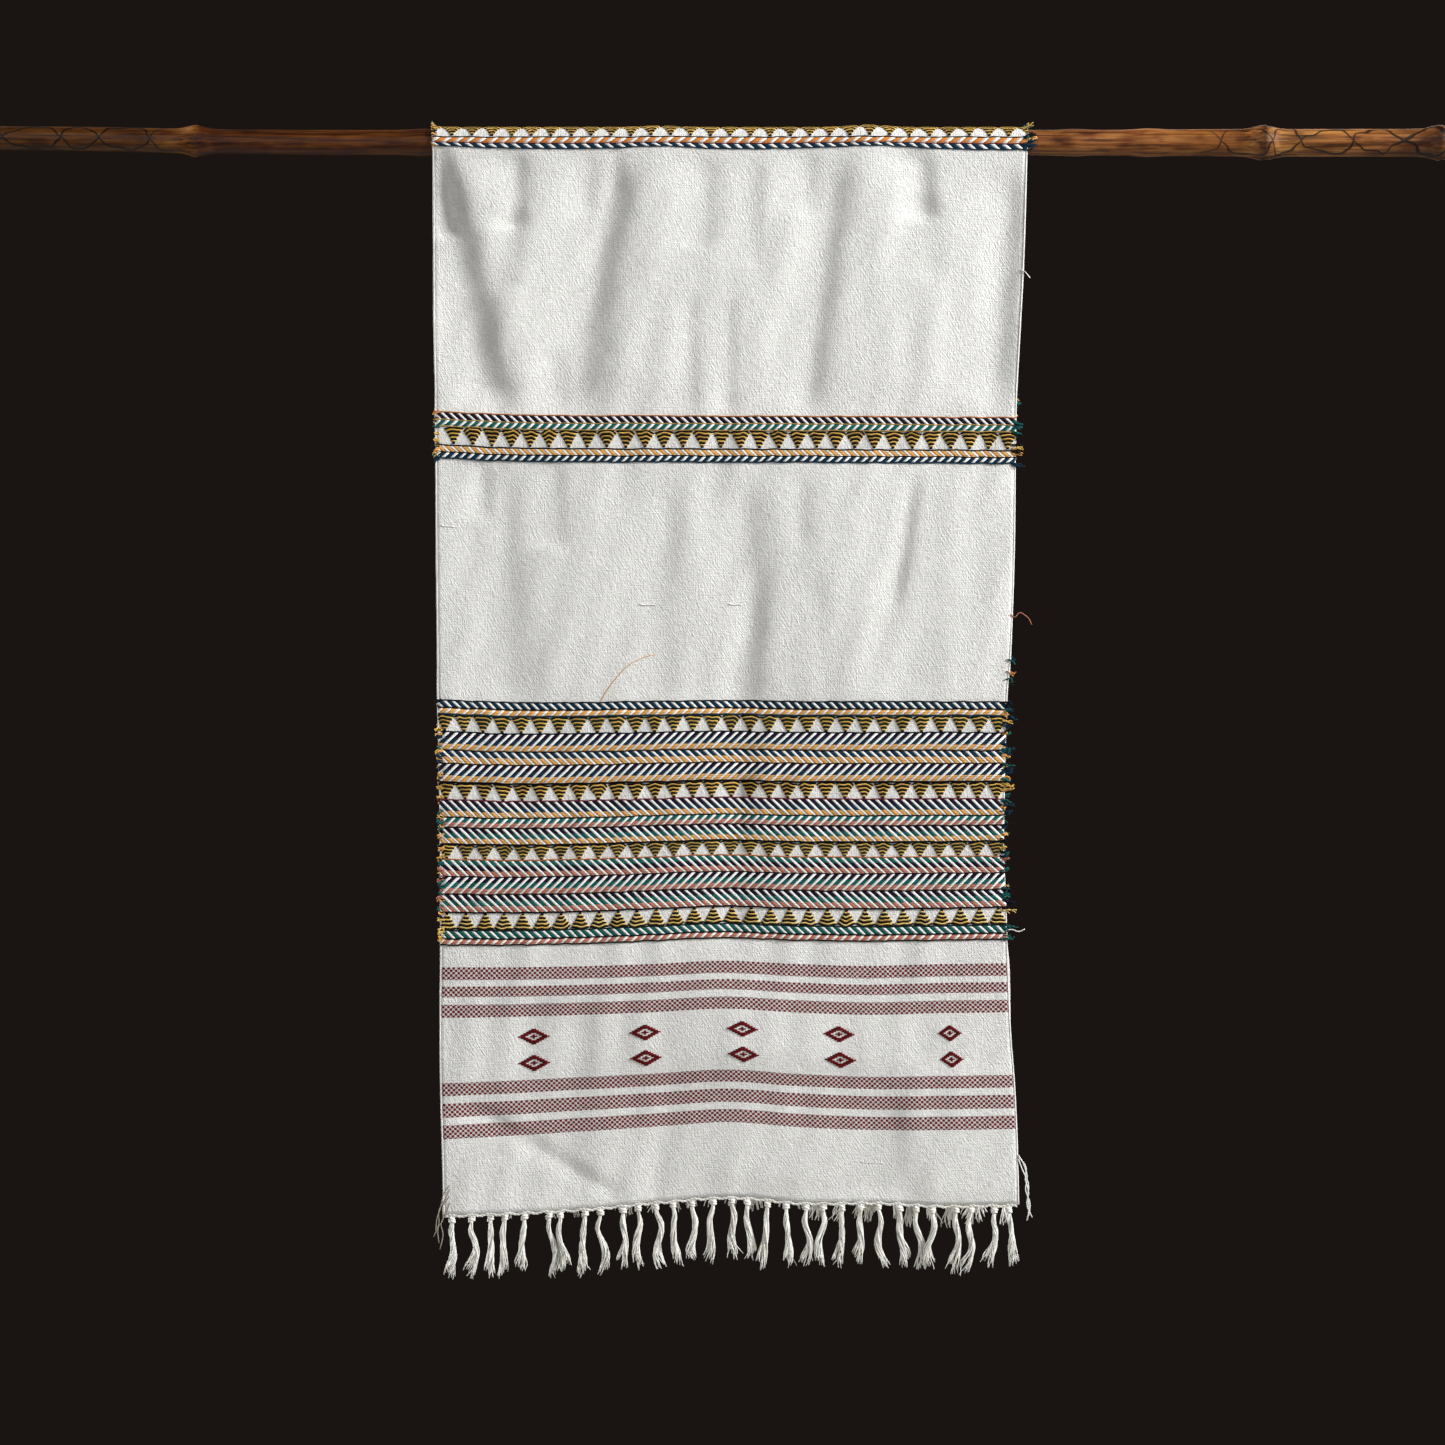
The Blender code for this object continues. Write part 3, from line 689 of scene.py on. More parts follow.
cloth = add_piece("stole_cloth", woven_length(), ground,
                  ("cloth_front", "cloth_over_rod", "cloth_back"))
wall = cloth.modifiers.new("thickness", "SOLIDIFY")
wall.thickness = CLOTH_THICKNESS
wall.offset = -1

# %% [markdown]
# ## Dyed cotton yarn
#
# The bands are extra weft: soft dyed cotton laid over the ground in slanted floats. The dye is
# a colour attribute of the mesh, so one material serves every yarn. Fine ridges across each
# float are the single passes of the weft, which are drawn a little coarser than they are.

# %% Dyes and the yarn material
# The grey among the dyes is no dye: it is painted shade for undyed loose ends that hang in shadow at the
# left below the hem.
DYES = {
    "undyed": "#FFFEFB", "navy": "#0E3247", "aubergine": "#170E26", "teal": "#17605C",
    "orange": "#EDB062", "mustard": "#E6BA5E", "straw": "#ECCB7A", "olive": "#C29C52",
    "rose": "#C47C68", "umber": "#120C06", "black": "#06060B", "copper": "#BC7440",
    "maroon": "#70121A", "rust": "#702430", "moss": "#10221C", "greyed": "#A89F92",
    "amber": "#DA8C46",
}
WEFT_PASS_MM = 1.1
PASS_WAVE_SCALE = 0.159
FIBRES_A_METRE = (700, 1900, 1)

yarn_look = new_material("dyed_cotton_weft")
dye = add_node(yarn_look, "Attribute", {}, attribute_name="dye")["Color"]
loom = add_node(yarn_look, "UVMap", {}, uv_map="loom")[0]
fibre = add_node(yarn_look, "TexNoise", {
    "Vector": add_node(yarn_look, "Mapping", {"Vector": loom, "Scale": FIBRES_A_METRE})[0],
    "Scale": 1.0, "Detail": 3.0})["Fac"]
fibre_tone = add_node(yarn_look, "ValToRGB", {"Fac": fibre},
                      stops=((0.3, "#CACACA"), (0.6, "#FFFFFF")))["Color"]
dyed = add_node(yarn_look, "Mix", {0: 1.0, 6: dye, 7: fibre_tone},
                data_type="RGBA", blend_type="MULTIPLY")[2]
passes = add_node(yarn_look, "TexWave", {
    "Vector": add_node(yarn_look, "Mapping", {
        "Vector": loom, "Scale": (0, 1000 / WEFT_PASS_MM, 0)})[0],
    "Scale": PASS_WAVE_SCALE, "Distortion": 0.3}, bands_direction="Y")["Fac"]
height = add_node(yarn_look, "Math", {0: passes, 1: 0.6, 2: fibre},
                  operation="MULTIPLY_ADD")[0]
yarn_bump = add_node(yarn_look, "Bump", {"Height": height, "Strength": 0.6, "Distance": 0.0005})
finish_material(yarn_look, Base_Color=dyed, Normal=yarn_bump[0], Roughness=0.85,
                Specular_IOR_Level=0.15)

# %% [markdown]
# ## Yarns by the hundred
#
# Threads of the triangles, lines, tassels and loose ends are all yarns that follow a path. One
# straight tube is made with bmesh and repeated by an Array modifier, and each copy is then
# bent along its own path. A curve object for each would work too, but hundreds of them are
# slow, and one joined mesh is easier to hang.

# %% Repeat a part
TUBE_GAP = 4


def repeated(part, step, count):
    """Repeat a bmesh part in even steps and return the joined mesh."""
    mesh = mesh_of(part, "part")
    holder = bpy.data.objects.new("part", mesh)
    bpy.context.scene.collection.objects.link(holder)
    array = holder.modifiers.new("repeat", "ARRAY")
    array.count = count
    array.use_relative_offset = False
    array.use_constant_offset = True
    array.constant_offset_displace = (step, 0, 0)
    evaluated = holder.evaluated_get(bpy.context.evaluated_depsgraph_get())
    whole = bpy.data.meshes.new_from_object(evaluated)
    bpy.data.objects.remove(holder)
    bpy.data.meshes.remove(mesh)
    return whole


# %% Bend yarns along paths


def unit(vectors):
    return vectors / np.linalg.norm(vectors, axis=-1, keepdims=True)


def yarns(paths, radii, sides, dyes, facing=(0, 1, 0)):
    """Make one mesh of yarns, each along its own path. Paths never run along "facing"."""
    paths = np.asarray(paths, float)
    count, stations = paths.shape[:2]
    radii = np.broadcast_to(np.reshape(radii, (-1, 1)) if np.ndim(radii) == 1 else radii,
                            (count, stations))
    tube = bmesh.new()
    bmesh.ops.create_circle(tube, segments=sides, radius=1)
    bmesh.ops.spin(tube, geom=list(tube.edges), axis=(0, 0, 1), dvec=(0, 0, 1), angle=0,
                   steps=stations - 1)
    bmesh.ops.holes_fill(tube, edges=[edge for edge in tube.edges if edge.is_boundary], sides=0)
    bmesh.ops.recalc_face_normals(tube, faces=tube.faces)
    mesh = repeated(tube, TUBE_GAP, count)
    straight = points_of(mesh)
    k = np.rint(straight[:, 0] / TUBE_GAP).astype(int)
    s = np.rint(straight[:, 2]).astype(int)
    along = unit(np.gradient(paths, axis=1))
    sideways = unit(np.cross(along, facing))
    other = np.cross(along, sideways)
    radius = radii[k, s][:, None]
    aside = (straight[:, :1] - TUBE_GAP * k[:, None]) * radius
    placed = paths[k, s] + aside * sideways[k, s] + straight[:, 1:2] * radius * other[k, s]
    move_points(mesh, placed)
    colours = np.array([linear(DYES[name]) for name in dyes])
    if len(colours) == 1:
        colours = np.repeat(colours, count, axis=0)
    attribute = mesh.color_attributes.new("dye", "FLOAT_COLOR", "CORNER")
    attribute.data.foreach_set("color", colours[k[corner_points(mesh)]].ravel())
    return mesh


# %% [markdown]
# ## Floats, lines and triangles
#
# A band is rows of ropes, thin dark lines and triangles. A rope row repeats one cell across
# the cloth: an undyed slanted float beside a dyed one, whose dye changes down its length. A
# triangle is a stack of shorter and shorter threads, bright and dark in turn, and each bows
# a little. All of it is made flat, in millimetres: across the cloth, down it, and up off it.

# %% Flat cells
WIDTH_MM = CLOTH_WIDTH / MM
UNDYED_SHARE = 0.42
UNDYED_MIDDLE = 0.21
DYED_SHARE = 0.62
DYED_MIDDLE = 0.71
UNDYED_FLOAT_MM = 1.15
DYED_FLOAT_MM = 0.9
SUNK_MM = 0.2
ROW_INSET_MM = 0.3


def paint(flat, faces, dye):
    layer = flat.loops.layers.float_color.get("dye") or flat.loops.layers.float_color.new("dye")
    colour = linear(DYES[dye])
    for face in faces:
        for corner in face.loops:
            corner[layer] = colour


def join_mesh(whole, mesh):
    """Move a mesh into a larger bmesh."""
    whole.from_mesh(mesh)
    bpy.data.meshes.remove(mesh)


def cut(part, place, direction, **settings):
    """Cut a bmesh by a plane."""
    everything = list(part.verts) + list(part.edges) + list(part.faces)
    bmesh.ops.bisect_plane(part, geom=everything, plane_co=place, plane_no=direction, **settings)


def slanted_float(cell, middle, row, width, rise, dyes):
    """Add one float that leans as it goes down, with its dyes spread down its length."""
    part = bmesh.new()
    points = bmesh.ops.create_cube(part, size=1)["verts"]
    bmesh.ops.scale(part, vec=(width, row.height, rise + SUNK_MM), verts=points)
    bmesh.ops.translate(part, vec=(0, row.height / 2, (rise - SUNK_MM) / 2), verts=points)
    top = [edge for edge in part.edges if min(end.co.z for end in edge.verts) > rise - 0.01]
    bmesh.ops.bevel(part, geom=top, offset=0.6 * rise, segments=1, profile=0.5,
                    affect="EDGES", material=-1)
    for k in range(1, len(dyes)):
        cut(part, (0, row.height * k / len(dyes), 0), (0, 1, 0))
    for face in part.faces:
        place = min(max(face.calc_center_median().y / row.height, 0), 0.999)
        paint(part, [face], dyes[int(place * len(dyes))])
    slant = Matrix(((1, row.lean, 0, middle - row.lean * row.height / 2), (0, 1, 0, row.top),
                    (0, 0, 1, 0), (0, 0, 0, 1)))
    bmesh.ops.transform(part, matrix=slant, verts=part.verts)
    join_mesh(cell, mesh_of(part, "float"))


# %% Rope rows


def rope_row(band, row, count):
    """Add a row of slanted floats, trimmed at the selvedges."""
    pitch = WIDTH_MM / count
    cell = bmesh.new()
    cell.loops.layers.float_color.new("dye")
    slanted_float(cell, pitch * UNDYED_MIDDLE, row, pitch * UNDYED_SHARE, UNDYED_FLOAT_MM,
                  ("undyed",))
    slanted_float(cell, pitch * DYED_MIDDLE, row, pitch * DYED_SHARE, DYED_FLOAT_MM, row.dyes)
    overhang = math.ceil(row.height / pitch / 2) + 1
    bmesh.ops.translate(cell, vec=(-overhang * pitch, 0, 0), verts=cell.verts)
    part = bmesh.new()
    join_mesh(part, repeated(cell, pitch, count + 2 * overhang))
    for place, outside in ((ROW_INSET_MM, -1), (WIDTH_MM - ROW_INSET_MM, 1)):
        cut(part, (place, 0, 0), (outside, 0, 0), clear_outer=True)
    bmesh.ops.holes_fill(part, edges=[edge for edge in part.edges if edge.is_boundary], sides=0)
    join_mesh(band, mesh_of(part, "row"))


# %% Line rows
LINE_SCALLOP_MM = 0.35
LINE_LIFT_MM = 0.6
LINE_RADIUS_SHARE = 0.72


def line_row(band, row, count):
    """Add one thread right across, which the floats press into scallops."""
    x = np.linspace(ROW_INSET_MM, WIDTH_MM - ROW_INSET_MM, count * 2 + 1)
    turn = 2 * math.pi * count * x / WIDTH_MM
    path = np.stack([x, row.top + LINE_SCALLOP_MM * np.sin(turn),
                     LINE_LIFT_MM + 0.2 * np.cos(turn)], axis=1)
    radius = row.height * LINE_RADIUS_SHARE
    join_mesh(band, yarns([path], [radius], 5, row.dyes, facing=(0, 0, 1)))


# %% Triangle rows
TRIANGLE_THREADS = 9
THREAD_STATIONS = 7
HALF_BASE_SHARE = 0.485
POINT_REACH_MM = 0.8
DARK_RADIUS_SHARE = 0.52
BRIGHT_RADIUS_SHARE = 0.5


def triangle_row(band, row, middles):
    """Add a row of triangles, each of threads that get shorter towards its point."""
    pitch = middles[1] - middles[0]
    bright, middling, dark = row.dyes
    points_down = row.kind == "down"
    step = row.height / TRIANGLE_THREADS
    chance = random.Random(round(row.top * 10))
    paths, radii, dyes = [], [], []
    for number, middle in enumerate(middles):
        swing = chance.uniform(0.9, 2.2) if chance.random() < 0.92 else 3.4
        tilt = chance.uniform(-0.5, 0.5)
        wave = chance.uniform(0.3, 0.9)
        for line in range(TRIANGLE_THREADS):
            from_wide = line if points_down else TRIANGLE_THREADS - 1 - line
            share = 1 - from_wide / TRIANGLE_THREADS
            reach = max(pitch * HALF_BASE_SHARE * share, POINT_REACH_MM)
            reach += chance.uniform(-0.25, 0.25)
            t = np.linspace(-1, 1, THREAD_STATIONS)
            bow = swing * share * (t ** 2 - 0.45) * (1 if points_down else -1)
            y = row.top + step * (line + 0.5) + bow + tilt * t * share
            y = y + wave * share * np.sin(5 * t + number)
            x = np.clip(middle + reach * t, ROW_INSET_MM, WIDTH_MM - ROW_INSET_MM)
            paths.append(np.stack([x, y, 0.42 - 0.55 * t ** 4], axis=1))
            is_dark = from_wide % 2 == 0
            radii.append(step * (DARK_RADIUS_SHARE if is_dark else BRIGHT_RADIUS_SHARE))
            dyes.append(dark if is_dark else chance.choice((bright, bright, middling)))
    join_mesh(band, yarns(paths, radii, 4, dyes, facing=(0, 0, 1)))


# %% [markdown]
# ## The bands, row by row
#
# Each band is a table with one line for each row: what kind it is, where it starts below the
# band's top and how high it is in millimetres, which way it leans (1 is down to the right),
# and its dyes from top to bottom. A line's start is its middle.

# %% Narrow band table
Row = namedtuple("Row", "kind top height lean dyes")
NARROW_BAND = (
    Row("line", 0.7, 0.9, 0, ["copper"]), Row("rope", 1.3, 6.4, 1.1, ["aubergine"]),
    Row("line", 7.9, 0.8, 0, ["olive"]), Row("rope", 8.3, 5.6, -1.1, ["teal"]),
    Row("line", 14.2, 0.8, 0, ["olive"]),
    Row("down", 14.9, 15.6, 0, ["mustard", "olive", "umber"]),
    Row("line", 31.8, 1.0, 0, ["black"]), Row("rope", 32.4, 5.6, 1.1, ["orange"]),
    Row("line", 38.2, 0.9, 0, ["black"]), Row("rope", 38.6, 5.3, -1.1, ["navy"]),
    Row("line", 43.9, 1.0, 0, ["navy"]),
)
CENTRE_BAND = NARROW_BAND[:6] + (
    Row("line", 31.8, 0.8, 0, ["umber"]), Row("rope", 32.4, 5.6, -1.1, ["amber"]),
    Row("line", 38.2, 1.0, 0, ["rust"]), Row("rope", 38.6, 5.3, 1.1, ["navy"]),
    Row("line", 43.9, 1.0, 0, ["navy"]),
)

# %% Wide band table
WIDE_BAND = (
    Row("line", 0.2, 1.0, 0, ["black"]), Row("rope", 0.5, 6.4, 1.1, ["navy"]),
    Row("line", 7.1, 1.1, 0, ["black"]), Row("rope", 7.4, 5.4, -1.1, ["orange"]),
    Row("line", 13.2, 1.0, 0, ["navy"]),
    Row("down", 13.8, 15.2, 0, ["mustard", "olive", "moss"]),
    Row("line", 29.4, 1.0, 0, ["black"]),
    Row("rope", 29.6, 16.4, -1.1, ["aubergine", "navy", "orange"]),
    Row("line", 46.3, 1.0, 0, ["black"]), Row("rope", 46.6, 11.7, 1.1, ["navy", "orange"]),
    Row("line", 58.6, 1.0, 0, ["black"]),
    Row("rope", 58.8, 16.5, -1.1, ["aubergine", "navy", "orange"]),
    Row("line", 75.8, 1.2, 0, ["black"]),
    Row("down", 76.6, 15.0, 0, ["mustard", "olive", "umber"]),
    Row("line", 92.0, 0.9, 0, ["rust"]),
    Row("rope", 92.4, 15.0, 1.1, ["aubergine", "navy", "orange"]),
    Row("line", 107.8, 1.0, 0, ["black"]), Row("rope", 108.1, 8.9, -1.1, ["teal", "rose"]),
    Row("line", 117.3, 1.0, 0, ["black"]),
    Row("rope", 117.6, 14.4, 1.1, ["aubergine", "teal", "orange"]),
    Row("line", 132.5, 1.2, 0, ["black"]),
    Row("down", 133.3, 13.1, 0, ["olive", "mustard", "moss"]),
    Row("line", 146.7, 0.9, 0, ["copper"]),
    Row("rope", 147.1, 15.0, 1.1, ["teal", "aubergine", "rose"]),
    Row("line", 162.3, 1.0, 0, ["black"]),
    Row("rope", 162.5, 15.8, -1.1, ["aubergine", "teal", "rose"]),
    Row("line", 178.5, 1.0, 0, ["black"]),
    Row("rope", 178.8, 16.1, 1.1, ["aubergine", "teal", "rose"]),
    Row("line", 195.3, 1.2, 0, ["black"]),
    Row("up", 196.3, 15.4, 0, ["straw", "mustard", "umber"]),
    Row("line", 212.1, 1.0, 0, ["moss"]), Row("rope", 212.4, 7.0, 1.1, ["teal"]),
    Row("line", 219.8, 1.1, 0, ["black"]), Row("rope", 220.1, 5.0, -1.1, ["rose"]),
    Row("line", 225.4, 1.0, 0, ["black"]),
)


def flat_band(rows, floats, middles):
    """Make a band flat, with so many floats a rope and its triangles at the middles given."""
    band = bmesh.new()
    band.loops.layers.float_color.new("dye")
    for row in rows:
        if row.kind == "rope":
            rope_row(band, row, floats)
        elif row.kind == "line":
            line_row(band, row, floats)
        else:
            triangle_row(band, row, middles)
    return band


# %% [markdown]
# ## Hang a band on the cloth
#
# The flat band gets a UV map in real metres, a little unevenness, because no hand beats every
# pass home alike, and a little change of dye along its yarns. Then the same function that
# hung the cloth hangs the band on it.

# %% Hang a flat band
wobble = random.Random(17)
WOBBLES = [(wobble.uniform(0.02, 0.35), wobble.uniform(0.1, 0.6), wobble.uniform(0, 6.3))
           for _ in range(8)]
DYE_UNEVENNESS = 0.12
SIDEWAYS_WANDER_MM = 0.35
BEAT_WANDER_MM = 0.4


def wander(x, y):
    """Make a slow uneven value of about -1 to 1 from flat places in millimetres."""
    return sum(np.sin(rate * x + other * y + phase) for rate, other, phase in WOBBLES) / 4


def hang_band(band, name, top_run, direction, replaced):
    """Hang a flat band, whose top lies at a run along the cloth, down in a direction."""
    if direction < 0:
        bmesh.ops.reverse_faces(band, faces=band.faces)
    mesh = mesh_of(band, name)
    flat = points_of(mesh)
    lay_uv(mesh, flat[:, :2] * MM)
    corners = corner_points(mesh)
    attribute = mesh.color_attributes["dye"].data
    dyes = np.empty(len(corners) * 4)
    attribute.foreach_get("color", dyes)
    dyes = dyes.reshape(-1, 4)
    change = wander(flat[corners, 0] * 3, flat[corners, 1] * 2)
    dyes[:, :3] *= 1 + DYE_UNEVENNESS * change[:, None]
    attribute.foreach_set("color", dyes.ravel())
    x = flat[:, 0] + SIDEWAYS_WANDER_MM * wander(flat[:, 0], flat[:, 1] * 0.5)
    y = flat[:, 1] + BEAT_WANDER_MM * wander(flat[:, 0] * 1.3 + 40, flat[:, 1] * 0.2)
    across = x * MM / CLOTH_WIDTH
    if direction > 0:
        across = 1 - across
    move_points(mesh, hang(across, top_run + direction * y * MM, flat[:, 2] * MM))
    return add_piece(name, mesh, yarn_look, replaced)


# %% The five bands
WIDE_PATTERN = (WIDE_BAND, 65, np.linspace(7, 552, 30))
NARROW_PATTERN = (NARROW_BAND, 68, np.linspace(18.2, 552, 30))
CENTRE_PATTERN = (CENTRE_BAND, 51, np.linspace(0, 561, 31))
Band = namedtuple("Band", "name pattern top_run direction replaced slot")
BANDS = (
    Band("wide_band_weft_front", WIDE_PATTERN, -FRONT.wide_top, -1, "wide_band_front",
         "dark_dyed_weft"),
    Band("narrow_band_weft_front", NARROW_PATTERN, -FRONT.narrow_top, -1, "narrow_band_front",
         "dyed_weft"),
    Band("centre_band_weft", CENTRE_PATTERN, 34.9 * MM, -1, "centre_band", "dyed_weft"),
    Band("narrow_band_weft_back", NARROW_PATTERN, OVER_LENGTH + BACK.narrow_top, 1,
         "narrow_band_back", "dyed_weft"),
    Band("wide_band_weft_back", WIDE_PATTERN, OVER_LENGTH + BACK.wide_top, 1, "wide_band_back",
         "dark_dyed_weft"),
)
bands = [hang_band(flat_band(*band.pattern), band.name, band.top_run, band.direction,
                   [band.replaced]) for band in BANDS]

# %% [markdown]
# ## The fringe
#
# The warp ends of the loom are knotted in bundles below each hem and left to hang. Each tassel
# is fifteen loosely twisted yarns in two locks, gathered in a knot, with their ends frayed
# apart. The tassels stand where the solid model has them, from the same seeded numbers.

# %% Tassel places
TASSELS = 31
TASSEL_LENGTH = 63 * MM
TASSEL_LENGTH_CHANGES = (-5 * MM, 4 * MM)
TASSEL_SPACING_CHANGE = 0.2
TASSEL_LEAN = 5 * MM
TASSEL_SWING = 3 * MM
KNOT_BELOW_HEM = 5 * MM
SECOND_LOCK_ASIDE = 5.5 * MM
SECOND_LOCK_FORWARD = 2 * MM
SECOND_LOCK_SHORTER = (3 * MM, 8 * MM)
Tassel = namedtuple("Tassel", "across hem knot tip second_tip")


def tassel_places(fall, seed):
    """Work out where each tassel of a fall is knotted and where its two locks end."""
    chance = random.Random(seed)
    tassels = []
    for number in range(TASSELS):
        change = chance.uniform(-TASSEL_SPACING_CHANGE, TASSEL_SPACING_CHANGE)
        lean = chance.uniform(-TASSEL_LEAN, TASSEL_LEAN)
        swing = chance.uniform(-TASSEL_SWING, TASSEL_SWING)
        length = TASSEL_LENGTH + chance.uniform(*TASSEL_LENGTH_CHANGES)
        aside = chance.choice((-1, 1)) * SECOND_LOCK_ASIDE
        forward = chance.uniform(-SECOND_LOCK_FORWARD, SECOND_LOCK_FORWARD)
        shorter = chance.uniform(*SECOND_LOCK_SHORTER)
        across = (number + 0.5 + change) / TASSELS
        hem = hang_fall(fall, np.array([across]), np.array([fall.hem]))[0]
        hem = hem - np.array([0, fall.side * CLOTH_WALL / 2, 0])
        knot = hem - np.array([0, 0, KNOT_BELOW_HEM])
        tip = hem + np.array([lean, swing, -length])
        tassels.append(Tassel(across, hem, knot, tip, tip + np.array([aside, forward, shorter])))
    return tassels


# %% Tassel yarns
YARNS_IN_LOCKS = (9, 6)
YARNS_A_TASSEL = sum(YARNS_IN_LOCKS)
YARN_STATIONS = 17
LOCK_RADIUS = 2.5 * MM
SECOND_LOCK_SHARE = 0.75
YARN_RADIUS = 0.58 * MM
ROOTS_SHARE = 0.75
KNOT_STATION = 0.16
LOCK_BEND = 3.5 * MM
WIDE_FRAY = 2.8


def tassel_yarns(fall, tassels, seed):
    """Work out the path and the thickness of every yarn of a fringe."""
    chance = random.Random(seed)
    t = np.linspace(0, 1, YARN_STATIONS)
    spacing = np.linspace(-0.5, 0.5, YARNS_A_TASSEL) * ROOTS_SHARE / TASSELS
    roots = (np.array([tassel.across for tassel in tassels])[:, None] + spacing).ravel()
    roots = hang_fall(fall, np.clip(roots, 0.003, 0.997), np.full(len(roots), fall.hem))
    roots = roots - np.array([0, fall.side * CLOTH_WALL / 2, -1 * MM])
    roots = roots.reshape(len(tassels), YARNS_A_TASSEL, 3)
    down = np.clip((t - KNOT_STATION) / (1 - KNOT_STATION), 0, 1)[:, None]
    apart = ease((down - 0.25) / 0.75)
    gather = ease(t / KNOT_STATION)[:, None]
    paths, radii = [], []
    for tassel, tassel_roots in zip(tassels, roots):
        turns = chance.choice((-1, 1)) * chance.uniform(0.5, 1.1)
        bend = chance.uniform(-LOCK_BEND, LOCK_BEND)
        kink = chance.uniform(0, 6.3)
        for number in range(YARNS_A_TASSEL):
            in_second = number >= YARNS_IN_LOCKS[0]
            tip = tassel.second_tip if in_second else tassel.tip
            turn = 2 * math.pi * number / YARNS_IN_LOCKS[in_second] + chance.uniform(-0.3, 0.3)
            spread = LOCK_RADIUS * (SECOND_LOCK_SHARE if in_second else 1)
            spread *= chance.uniform(0.5, 1.1)
            flare = chance.uniform(0.0, 0.6) if chance.random() < 0.88 else WIDE_FRAY
            length = 1 - chance.uniform(0, 0.12)
            aim = tassel.tip * (1 - apart) + tip * apart
            middle = tassel.knot + (aim - tassel.knot) * down * length
            middle = middle + np.array([bend, 0, 0]) * np.sin(down * 6 + kink) * ease(down / 0.3)
            centre = tassel_roots[number] * (1 - gather) + middle * gather
            angle = turn + 2 * math.pi * turns * down[:, 0]
            open_out = spread * (0.45 + 0.55 * ease(down[:, 0] / 0.25)
                                 + flare * ease((down[:, 0] - 0.72) / 0.4))
            open_out = open_out * gather[:, 0]
            paths.append(centre + np.stack(
                [open_out * np.cos(angle), open_out * np.sin(angle), 0 * t], axis=1))
            thinning = 1 - 0.45 * ease((t - 0.8) / 0.2)
            radii.append(YARN_RADIUS * chance.uniform(0.8, 1.15) * thinning)
    return paths, radii


# %% Knots and the twined edge
KNOT_RADIUS = 2.3 * MM
KNOT_YARN_RADIUS = 1.25 * MM
KNOT_TURNS = 1.9
KNOT_HALF_HEIGHT = 1.9 * MM
EDGE_YARN_RADIUS = 0.85 * MM
EDGE_TWIST_RADIUS = 0.7 * MM
EDGE_TWISTS_A_TASSEL = 2.5
EDGE_SAG = 0.9 * MM


def knot_wraps(tassels, seed):
    """Wind a yarn twice round each tassel's gathered neck."""
    chance = random.Random(seed)
    t = np.linspace(0, 1, 17)
    paths = []
    for tassel in tassels:
        angle = chance.uniform(0, 6.3) + 2 * math.pi * KNOT_TURNS * t
        wide = KNOT_RADIUS * chance.uniform(0.85, 1.15)
        tilt = chance.uniform(-0.6, 0.6) * MM * np.cos(angle)
        paths.append(tassel.knot + np.stack([
            wide * np.cos(angle), wide * 0.8 * np.sin(angle),
            KNOT_HALF_HEIGHT * (1 - 2 * t) + tilt], axis=1))
    return paths


def twined_edge(fall):
    """Work out two yarns twisted round each other along the hem."""
    across = np.linspace(0.004, 0.996, TASSELS * 8 + 1)
    edge = hang_fall(fall, across, np.full(len(across), fall.hem))
    edge[:, 1] -= fall.side * CLOTH_WALL / 2
    sag = np.cos(2 * math.pi * TASSELS * across)
    paths = []
    for turn in (0, math.pi):
        angle = turn + across * TASSELS * 2 * math.pi * EDGE_TWISTS_A_TASSEL
        paths.append(edge + np.stack([
            0 * across, EDGE_TWIST_RADIUS * np.cos(angle),
            EDGE_TWIST_RADIUS * np.sin(angle) - EDGE_SAG * (1 + sag)], axis=1))
    return paths


# %% Undyed fringe yarn
PLIES_A_METRE = 1500
PATCHES_A_METRE = 130
fringe_look = new_material("twisted_undyed_cotton_yarn")
place = add_node(fringe_look, "TexCoord", {})["Object"]
ply = add_node(fringe_look, "TexNoise", {
    "Vector": add_node(fringe_look, "Mapping", {"Vector": place, "Scale": (1, 1, 0.35)})[0],
    "Scale": PLIES_A_METRE, "Detail": 2.0})["Fac"]
shade_patch = add_node(fringe_look, "TexNoise", {"Vector": place, "Scale": PATCHES_A_METRE})["Fac"]
ply_tone = add_node(fringe_look, "ValToRGB", {"Fac": ply},
                    stops=((0.3, "#DEDCD6"), (0.65, "#FAFAF7")))["Color"]
patch_tone = add_node(fringe_look, "ValToRGB", {"Fac": shade_patch},
                      stops=((0.35, "#E8E5DE"), (0.6, "#FFFFFF")))["Color"]
fringe_colour = add_node(fringe_look, "Mix", {0: 0.7, 6: ply_tone, 7: patch_tone},
                         data_type="RGBA", blend_type="MULTIPLY")[2]
fringe_bump = add_node(fringe_look, "Bump", {"Height": ply, "Strength": 0.6, "Distance": 0.0005})
finish_material(fringe_look, Base_Color=fringe_colour, Normal=fringe_bump[0], Roughness=0.9,
                Specular_IOR_Level=0.2)

# %% Make the fringes


def fringe(fall, seed, name, replaced):
    tassels = tassel_places(fall, seed)
    paths, radii = tassel_yarns(fall, tassels, seed + 100)
    made = bmesh.new()
    join_mesh(made, yarns(paths, np.array(radii), 5, ["undyed"]))
    join_mesh(made, yarns(knot_wraps(tassels, seed + 200), [KNOT_YARN_RADIUS], 6, ["undyed"],
                          facing=(0, 0, 1)))
    join_mesh(made, yarns(twined_edge(fall), [EDGE_YARN_RADIUS], 6, ["undyed"]))
    return add_piece(name, mesh_of(made, name), fringe_look, [replaced])


fringes = [fringe(FRONT, 11, "knotted_fringe_front", "fringe_front"),
           fringe(BACK, 23, "knotted_fringe_back", "fringe_back")]
